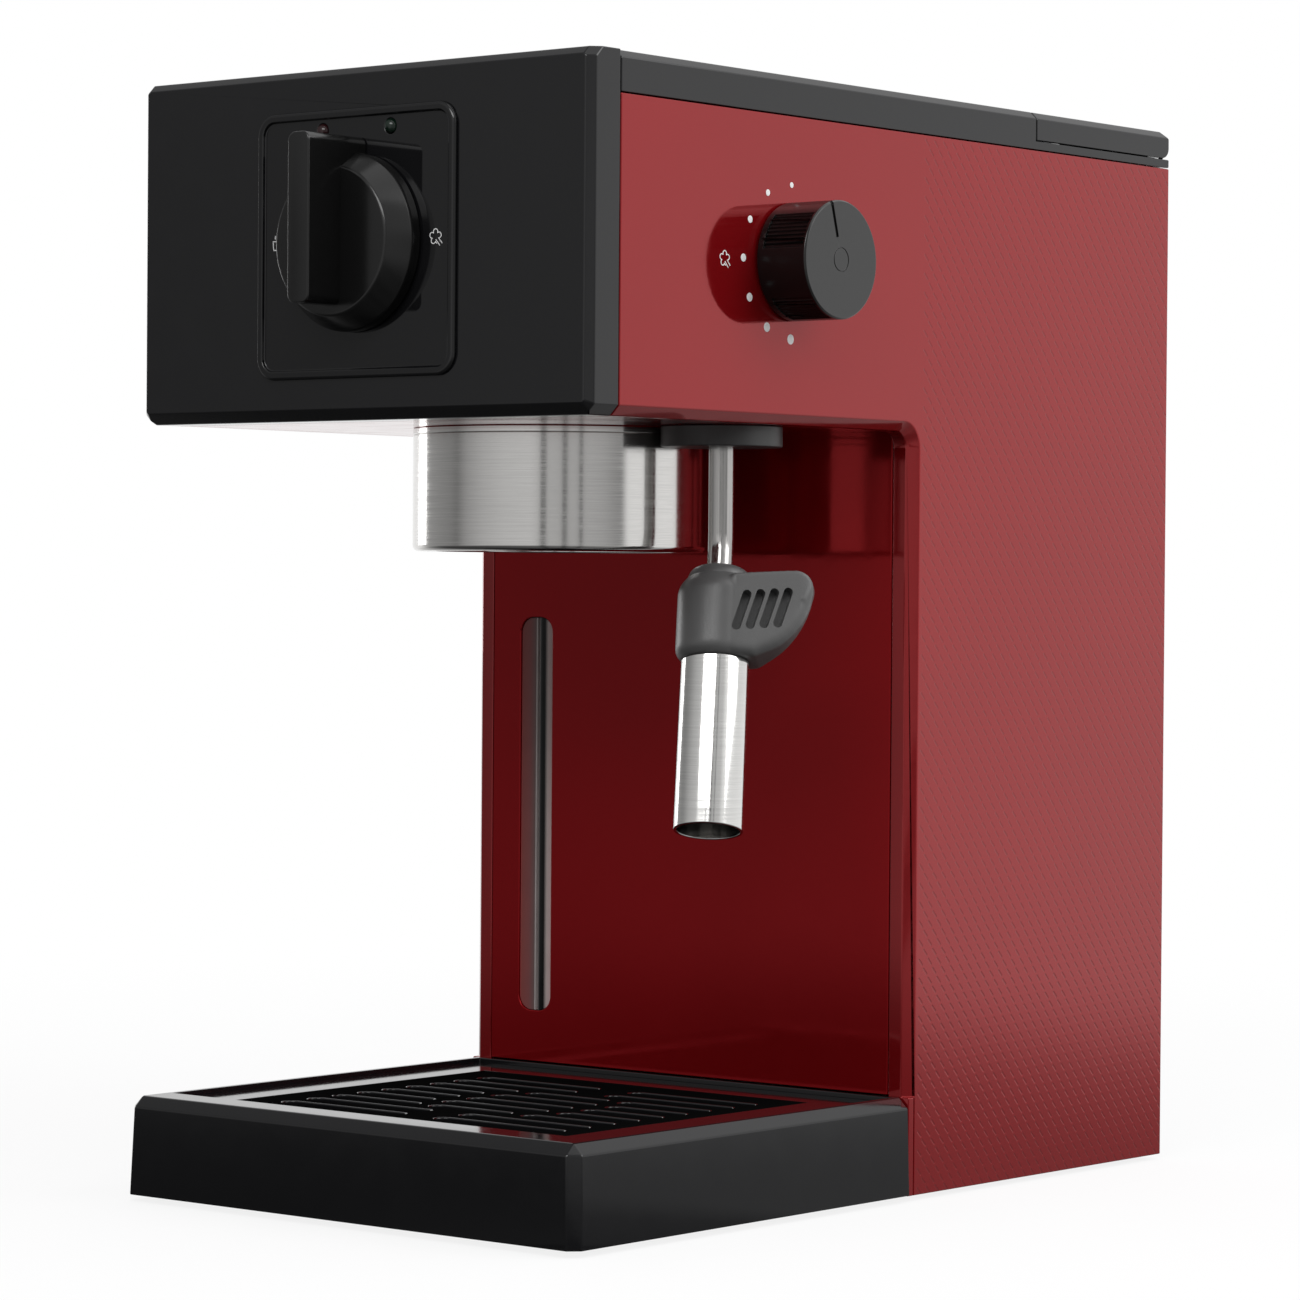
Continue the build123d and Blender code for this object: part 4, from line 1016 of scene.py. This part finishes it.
def buildCollar():
    size = collar
    low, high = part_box("group_collar")
    radius = size["radius"]
    inner = radius - size["wall"]
    piece = lathe("group_collar_shell", [
        (inner, high.z),
        (radius - size["topEdge"], high.z),
        (radius, high.z - size["topEdge"]),
        (radius, low.z, size["round"]),
        (size["lipRadius"], low.z, size["lipRound"]),
        (size["lipRadius"], low.z + size["lip"], size["lipRound"]),
        (inner, low.z + size["lip"]),
        (inner, high.z),
    ], size["steps"])
    smooth(piece)
    place(piece, Matrix.Translation((groupAxis.x, groupAxis.y, 0)))
    standFor(piece, "group_collar", "collarSteel")
    print("collar done")


# steam wand: bent pipe, moulded grip with a slotted fin, steel frothing sleeve
wand = {
    "kinkDrop": 30.8 * mm,
    "kinkRound": 16.0 * mm,
    "lean": 18.0,
    "heading": -58.0,
    "pipeRadius": 3.4 * mm,
    "pipeTop": 8.7 * mm,
    "pipeEnd": 40.0 * mm,
    "gripTop": 7.5 * mm,
    "gripShoulder": 13.6 * mm,
    "gripBottom": 33.3 * mm,
    "gripRadius": 10.8 * mm,
    "gripRound": 1.8 * mm,
    "spigotRadius": 8.22 * mm,
    "spigotLength": 12.0 * mm,
    "capRadius": 8.3 * mm,
    "capHigh": 3.4 * mm,
    "capSink": 0.4 * mm,
    "capHole": 0.6 * mm,
    "capEdge": 0.3 * mm,
    "capRound": 3.0 * mm,
    "skirt": 1.8 * mm,
    "skirtRound": 1.2 * mm,
    "mouth": 0.9 * mm,
    "mouthRound": 0.3 * mm,
    "voxel": 0.3 * mm,
    "softening": 22,
    "finReach": 25.2 * mm,
    "finThickness": 8.0 * mm,
    "finRoot": 12.2 * mm,
    "finTop": 8.2 * mm,
    "finRound": 5.0 * mm,
    "finCorner": (25.5 * mm, 25.2 * mm),
    "finBelly": 12.0 * mm,
    "slotCount": 4,
    "slotPitch": 3.5 * mm,
    "slotWide": 2.4 * mm,
    "slotLong": 11.6 * mm,
    "slotSlant": 16.0,
    "slotX": 12.6 * mm,
    "slotZ": 20.6 * mm,
    "slotDeep": 3.4 * mm,
    "slotRise": 0.6 * mm,
    "slotRound": 0.98,
    "finEdge": 2.6 * mm,
    "finSharp": 40,
    "bellyFrom": 15.0 * mm,
    "sleeveRadius": 9.15 * mm,
    "sleeveWall": 0.85 * mm,
    "sleeveEnd": 79.3 * mm,
    "sleeveTopEdge": 0.15 * mm,
    "sleeveEdge": 0.25 * mm,
    "seam": 0.3 * mm,
    "gripSteps": 96,
    "capSteps": 64,
    "sleeveSteps": 128,
}


def wandPlace():
    # origin at the pipe's bend, Z up along the leaning pipe, X along the fin
    heading = radians(wand["heading"])
    lean = radians(wand["lean"])
    upward = Vector((-sin(lean) * cos(heading), -sin(lean) * sin(heading), cos(lean)))
    along = Vector((-sin(heading), cos(heading), 0))
    third = upward.cross(along)
    kink = Vector((wandMid.x, wandMid.y, headZ - wand["kinkDrop"]))
    return Matrix.Translation(kink) @ Matrix((along, third, upward)).transposed().to_4x4()


def buildPipe():
    size = wand
    kink = wandPlace().translation
    end = wandPlace() @ Vector((0, 0, -size["pipeEnd"]))
    start = Vector((kink.x, kink.y, headZ + size["pipeTop"]))
    tangent = size["kinkRound"] * tan(radians(size["lean"]) / 2)
    line = drawLine("steam_pipe_tube", [tuple(start), (*kink, tangent), tuple(end)])
    editOff()
    chooseOnly(line)
    bpy.ops.object.convert(target="CURVE")
    line.data.bevel_depth = size["pipeRadius"]
    line.data.bevel_resolution = 12
    line.data.use_fill_caps = True
    bpy.ops.object.convert(target="MESH")
    piece = bpy.context.object
    editOn(piece)
    tidyMesh()
    editOff()
    smooth(piece, angle=50)
    standFor(piece, "steam_pipe", "pipeSteel")
    print("pipe done")


def finTaper():
    # half the angle between the fin's two flanks
    size = wand
    tip = size["finThickness"] / 2
    return asin((size["gripRadius"] - tip) / (size["finReach"] - tip))


def gripFin():
    # a wedge that runs out from the round body, cut to its side view
    size = wand
    taper = finTaper()
    radius = size["gripRadius"]
    tip = size["finThickness"] / 2
    apex = radius / sin(taper)
    rounding = ((apex - size["finReach"] + tip) ** 2 - tip ** 2) ** 0.5
    rootX = radius * sin(taper)
    rootY = radius * cos(taper)
    wedge = slab("fin", [(rootX, -rootY), (apex, 0, rounding), (rootX, rootY)], -size["gripBottom"], 0)
    cornerX, cornerZ = size["finCorner"]
    profile = slab("profile", [
        (0, -size["gripBottom"]),
        (radius, -size["gripBottom"]),
        (cornerX, -cornerZ, size["finBelly"]),
        (size["finReach"], -size["finTop"], size["finRound"]),
        (0, -size["finRoot"]),
    ], -radius, radius)
    place(profile, Matrix.Rotation(pi / 2, 4, "X"))
    combine(wedge, profile, "INTERSECT")
    editOn(wedge)
    sharp = radians(size["finSharp"])
    choose(wedge, "EDGE", lambda part: len(part.link_faces) == 2 and part.calc_face_angle() > sharp
           and middleOfPart(part).z < -size["bellyFrom"])
    bpy.ops.mesh.bevel(offset=size["finEdge"], segments=4)
    editOff()
    return wedge


def finSlots():
    # slanted slots on both flanks
    size = wand
    half = size["slotWide"] / 2
    reach = size["slotLong"] / 2
    outline = rectangle(-half, -reach, half, reach, half * size["slotRound"])
    taper = finTaper()
    slant = Matrix.Rotation(radians(size["slotSlant"]), 4, "Y") @ Matrix.Rotation(pi / 2, 4, "X")
    cutters = []
    for side in (-1, 1):
        turned = Matrix.Rotation(-side * taper, 4, "Z") @ slant
        for step in range(size["slotCount"]):
            cutter = slab("slot", outline, -size["slotDeep"], size["slotDeep"])
            along = step - (size["slotCount"] - 1) / 2
            x = size["slotX"] + along * size["slotPitch"]
            y = (size["gripRadius"] - x * sin(taper)) / cos(taper)
            z = along * size["slotRise"] - size["slotZ"]
            cutters.append(place(cutter, Matrix.Translation((x, side * y, z)) @ turned))
    return joinAll(cutters, "slots")


def buildGrip():
    size = wand
    top = -size["gripTop"]
    bottom = -size["gripBottom"]
    radius = size["gripRadius"]
    spigot = size["spigotRadius"]
    spigotEnd = bottom - size["spigotLength"]
    capFoot = top - size["capHigh"]
    piece = lathe("wand_grip_body", [
        (0, capFoot + size["capSink"]),
        (size["capRadius"], capFoot + size["capSink"]),
        (radius, -size["gripShoulder"], size["gripRound"]),
        (radius, bottom + size["skirt"], size["skirtRound"]),
        (spigot + size["mouth"], bottom, size["mouthRound"]),
        (0, bottom),
    ], size["gripSteps"])
    combine(piece, gripFin(), "UNION")
    applyModifier(piece, "REMESH", mode="VOXEL", voxel_size=size["voxel"])
    applyModifier(piece, "SMOOTH", factor=0.5, iterations=size["softening"])
    combine(piece, finSlots(), "DIFFERENCE")
    cap = lathe("cap", [
        (0, top),
        (size["pipeRadius"] + size["capHole"], top, size["capEdge"]),
        (size["capRadius"], top - size["capEdge"], size["capRound"]),
        (size["capRadius"], capFoot - mm),
        (0, capFoot - mm),
    ], size["capSteps"])
    plugTop = bottom + mm
    plugLine = [(0, plugTop), (spigot, plugTop), (spigot, spigotEnd), (0, spigotEnd)]
    plug = lathe("plug", plugLine, size["capSteps"])
    piece = joinAll([piece, cap, plug], "wand_grip_body")
    smooth(piece, angle=40)
    place(piece, wandPlace())
    standFor(piece, "wand_grip", "gripGrey")
    print("grip done")


def buildSleeve():
    size = wand
    top = -size["gripBottom"] - size["seam"]
    end = -size["sleeveEnd"]
    radius = size["sleeveRadius"]
    inner = radius - size["sleeveWall"]
    piece = lathe("frother_sleeve_tube", [
        (inner, top),
        (radius, top, size["sleeveTopEdge"]),
        (radius, end, size["sleeveEdge"]),
        (inner, end, size["sleeveEdge"]),
        (inner, top),
    ], size["sleeveSteps"])
    smooth(piece)
    place(piece, wandPlace())
    standFor(piece, "frother_sleeve", "sleeveSteel")
    print("sleeve done")


def solidBoxes(node):
    # lowest and highest corner of each separate solid in a node
    copyOf(node)
    bpy.ops.mesh.separate(type="LOOSE")
    editOff()
    parts = list(bpy.context.selected_objects)
    boxes = []
    for part in parts:
        corners = [vertex.co for vertex in part.data.vertices]
        boxes.append([Vector([pick(spot[axis] for spot in corners) for axis in range(3)])
                      for pick in (min, max)])
    chooseOnly(*parts)
    bpy.ops.object.delete()
    return boxes


# rubber feet with a rounded tread
feet = {"tread": 2.0 * mm, "round": 0.5 * mm, "topRound": 0.2 * mm, "steps": 64}


def buildFeet():
    size = feet
    made = []
    for low, high in solidBoxes("rubber_feet"):
        radius = (high.x - low.x) / 2
        foot = lathe("foot", [
            (0, low.z),
            (radius - size["tread"], low.z),
            (radius, low.z, size["round"]),
            (radius, baseZ, size["topRound"]),
            (0, baseZ),
        ], size["steps"])
        made.append(place(foot, Matrix.Translation(((low.x + high.x) / 2, (low.y + high.y) / 2, 0))))
    piece = joinAll(made, "foot_pads")
    smooth(piece)
    standFor(piece, "rubber_feet", "footRubber")
    print("feet done,", len(made))


# rear screws: low domed heads with a cross
screws = {
    "headHigh": 1.7 * mm,
    "rim": 0.5 * mm,
    "rimRound": 0.3 * mm,
    "crown": 0.55,
    "crownRound": 0.4 * mm,
    "crossLong": 3.4 * mm,
    "crossWide": 0.75 * mm,
    "crossDeep": 0.9 * mm,
    "steps": 48,
}


def buildScrews():
    size = screws
    half = size["crossWide"] / 2
    reach = size["crossLong"] / 2
    cross = rectangle(-reach, -half, reach, half)
    made = []
    for low, high in solidBoxes("casing_screws"):
        radius = (high.x - low.x) / 2
        head = lathe("head", [
            (0, -size["headHigh"]),
            (radius, -size["headHigh"]),
            (radius, -size["rim"], size["rimRound"]),
            (radius * size["crown"], 0, size["crownRound"]),
            (0, 0),
        ], size["steps"])
        for turn in (0, pi / 2):
            arm = slab("arm", cross, -size["crossDeep"], mm)
            combine(head, place(arm, Matrix.Rotation(turn, 4, "Z")), "DIFFERENCE")
        made.append(place(head, facingBack((low.x + high.x) / 2, high.y, (low.z + high.z) / 2)))
    piece = joinAll(made, "rear_screw_heads")
    smooth(piece)
    standFor(piece, "casing_screws", "platedSteel")
    print("screws done,", len(made))


for build in (buildShells, buildWindow, buildDial, buildKnob, buildDots, buildIcons, buildLamps,
              buildCollar, buildPipe, buildGrip, buildSleeve, buildFeet, buildScrews):
    build()


# studio: a white surround that is dark ahead of the machine, with soft boxes and a pale floor;
# turns of the surround: 0.14 ahead on the left, 0.36 at the camera, 0.64 behind on the right
studio = {
    "floorSize": 6.0,
    "floorColour": (0.86, 0.86, 0.87, 1),
    "floorWhite": 0.85,
    "floorBounce": 0.15,
    "clearSpan": (0.3, 0.8),
    "fibre": 1 / 60,
    "zenith": 0.75,
    "zenithSpan": (0.25, 0.85),
    "zenithMirrored": 0.3,
    "zenithMirroredSpan": (0.75, 0.95),
    "raisedSpan": (0.03, 0.3),
    "white": 1.0,
    # painted shadow in the floor's mirrored light near the machine: its level and the span of its fade
    "mirrorShadowNear": 0.35,
    "mirrorShadowSpan": (0.12, 0.9),
    "levelSpan": (0.35, 1.0),
}
rings = {
    "soft": [(0.0, 0.6), (0.05, 0.22), (0.2, 0.16), (0.32, 0.3), (0.48, 0.6), (0.54, 1.2), (0.75, 1.2),
             (1.0, 0.6)],
    "level": [(0.0, 0.6), (0.02, 0.36), (0.1, 0.27), (0.12, 0.21), (0.148, 0.38), (0.19, 0.52),
              (0.24, 0.62), (0.3, 0.67), (0.35, 0.53), (0.43, 0.5), (0.46, 0.45), (0.5, 0.3),
              (0.515, 0.95), (0.97, 1.0), (1.0, 0.6)],
    "floor": [(0.0, 0.5), (0.06, 0.12), (0.2, 0.15), (0.35, 0.3), (0.5, 0.5), (0.54, 0.95), (0.97, 1.0),
              (1.0, 0.5)],
    "raised": [(0.0, 0.3), (0.04, 0.22), (0.09, 0.3), (0.16, 0.5), (0.23, 0.62), (0.255, 0.95),
               (0.335, 1.0), (0.35, 0.75), (0.372, 0.4), (0.4, 0.55), (0.46, 0.62), (0.49, 0.95),
               (0.65, 0.85), (0.9, 0.75), (1.0, 0.3)],
}
stands = [(0.328, 0.005), (0.374, 0.004), (0.409, 0.003)]  # thin dark light stands: turn and half width
standShade = 0.65
standFade = 1.6


def surround(bench, turn, name):
    return bench.ramp(turn, [(spot, grey(level)) for spot, level in rings[name]])


def withStands(bench, turn, colour):
    for spot, half in stands:
        away = bench.math("ABSOLUTE", turn - spot)
        shadow = bench.band(away, standShade, 0.0, half, half * standFade)
        colour = bench.colourMix(shadow, colour, grey(0.0))
    return colour


def buildWorld():
    world = bpy.data.worlds.new("studioWorld")
    bpy.context.scene.world = world
    world.use_nodes = True
    world.node_tree.nodes.clear()
    bench = NodeBench(world.node_tree)
    outward = bench.node("ShaderNodeTexCoord", {}, {}, "Generated")
    turn = bench.turnOf(outward)
    height = bench.node("ShaderNodeSeparateXYZ", {}, {"Vector": outward}, "Z")

    def above(span):
        return bench.band(height, 0.0, 1.0, *studio[span])

    soft = bench.colourMix(above("zenithSpan"), surround(bench, turn, "soft"), grey(studio["zenith"]))
    level = surround(bench, turn, "level")
    mirrored = bench.colourMix(above("raisedSpan"), level, surround(bench, turn, "raised"))
    mirrored = withStands(bench, turn, mirrored)
    dark = grey(studio["zenithMirrored"])
    mirrored = bench.colourMix(above("zenithMirroredSpan"), mirrored, dark)
    seen, glossy = bench.rays()
    colour = bench.colourMix(glossy, soft, mirrored)
    colour = bench.colourMix(seen, colour, grey(studio["white"]))
    light = bench.node("ShaderNodeBackground", {}, {"Color": colour, "Strength": 1.0})
    bench.node("ShaderNodeOutputWorld", {}, {"Surface": light})


def buildFloor():
    # pale paper that carries the shadow and fades into the white surround away from the machine;
    # glossy faces find painted light in it: the surround's own light, with a painted shadow near the
    # machine
    deselect()
    bpy.ops.mesh.primitive_plane_add(size=studio["floorSize"], location=(0, 0, 0))
    floor = bpy.context.object
    floor.name = "studio_floor"
    paper = Finish("floorPaper", {"Roughness": 0.9, "Specular IOR Level": 0.0, "Emission Strength": 1.0})
    paper.material.cycles.emission_sampling = "NONE"
    seen, glossy = paper.rays()
    away = paper.node("ShaderNodeVectorMath", {"operation": "LENGTH"}, {0: paper.place}, "Value")
    clear = paper.band(away, studio["floorWhite"], 1.0, *studio["clearSpan"])
    fibre = paper.grain(studio["fibre"], detail=3)
    pale = paper.colourMix(fibre, shade(studio["floorColour"], 0.99), studio["floorColour"])
    lit = paper.colourMix(seen, grey(studio["floorBounce"]), paper.colourMix(clear, pale, grey(0)))
    paper.tint(glossy, lit, grey(0))
    shift = (-groupAxis.x, -groupAxis.y, 0)
    fromGroup = paper.node("ShaderNodeMapping", {}, {"Vector": paper.place, "Location": shift})
    turn = paper.turnOf(fromGroup)
    # painted shadow: the floor's mirrored light is darkened near the machine
    nearShadow = paper.band(away, studio["mirrorShadowNear"], 1.0, *studio["mirrorShadowSpan"])
    close = paper.colourMix(nearShadow, grey(0), surround(paper, turn, "floor"))
    level = paper.band(away, 0.0, 1.0, *studio["levelSpan"])
    mirrored = withStands(paper, turn, paper.colourMix(level, close, surround(paper, turn, "level")))
    white = paper.colourMix(seen * clear, grey(0), grey(studio["white"]))
    paper.feed("Emission Color", paper.colourMix(glossy, white, mirrored))
    floor.data.materials.append(paper.material)


softBoxes = [
    {"name": "topBox", "spot": (0.35, 0.15, 1.1), "aim": (0, 0, 0.15), "size": 1.2, "power": 3.2},
    {"name": "aheadBox", "spot": (0.36, -0.98, 0.89), "aim": (0.03, -0.08, 0.2), "size": 0.85,
     "high": 0.4, "power": 4.8},
    {"name": "leftBox", "spot": (-1.2, 0.05, 0.28), "aim": (0, -0.1, 0.24), "size": 0.3, "power": 1.0},
    {"name": "rightBox", "spot": (1.0, 0.32, 0.85), "aim": (0, 0, 0.18), "size": 0.7, "power": 4.0},
]


def buildLights():
    for box in softBoxes:
        deselect()
        bpy.ops.object.light_add(type="AREA", location=box["spot"])
        lightPiece = bpy.context.object
        lightPiece.name = box["name"]
        lightPiece.data.shape = "RECTANGLE"
        lightPiece.data.size = box["size"]
        lightPiece.data.size_y = box.get("high", box["size"])
        lightPiece.data.energy = box["power"]
        aim = Vector(box["aim"]) - Vector(box["spot"])
        lightPiece.rotation_euler = aim.to_track_quat("-Z", "Y").to_euler()


# camera at the photograph's viewing angle, placed from the casing's own corner
view = {
    "right": 797.7 * mm,
    "ahead": 849.4 * mm,
    "rise": 165.5 * mm,
    "yaw": 39.42,
    "pitch": -0.804,
    "roll": 0.422,
    "lens": 124.05,
    "sensor": 36.0,
}


def buildCamera():
    yaw = radians(view["yaw"])
    pitch = radians(view["pitch"])
    roll = radians(view["roll"])
    ahead = Vector((-sin(yaw) * cos(pitch), cos(yaw) * cos(pitch), sin(pitch)))
    right = Vector((cos(yaw), sin(yaw), 0))
    up = right.cross(ahead)
    rightTurned = cos(roll) * right + sin(roll) * up
    upTurned = cos(roll) * up - sin(roll) * right
    deselect()
    spot = (midX + view["right"], frontY - view["ahead"], baseZ + view["rise"])
    bpy.ops.object.camera_add(location=spot)
    camera = bpy.context.object
    camera.name = "photo_camera"
    camera.data.lens = view["lens"]
    camera.data.sensor_width = view["sensor"]
    camera.rotation_euler = Matrix((rightTurned, upTurned, -ahead)).transposed().to_euler()
    bpy.context.scene.camera = camera


buildWorld()
buildFloor()
buildLights()
buildCamera()
bpy.context.scene.view_settings.view_transform = "Standard"
print("studio ready")
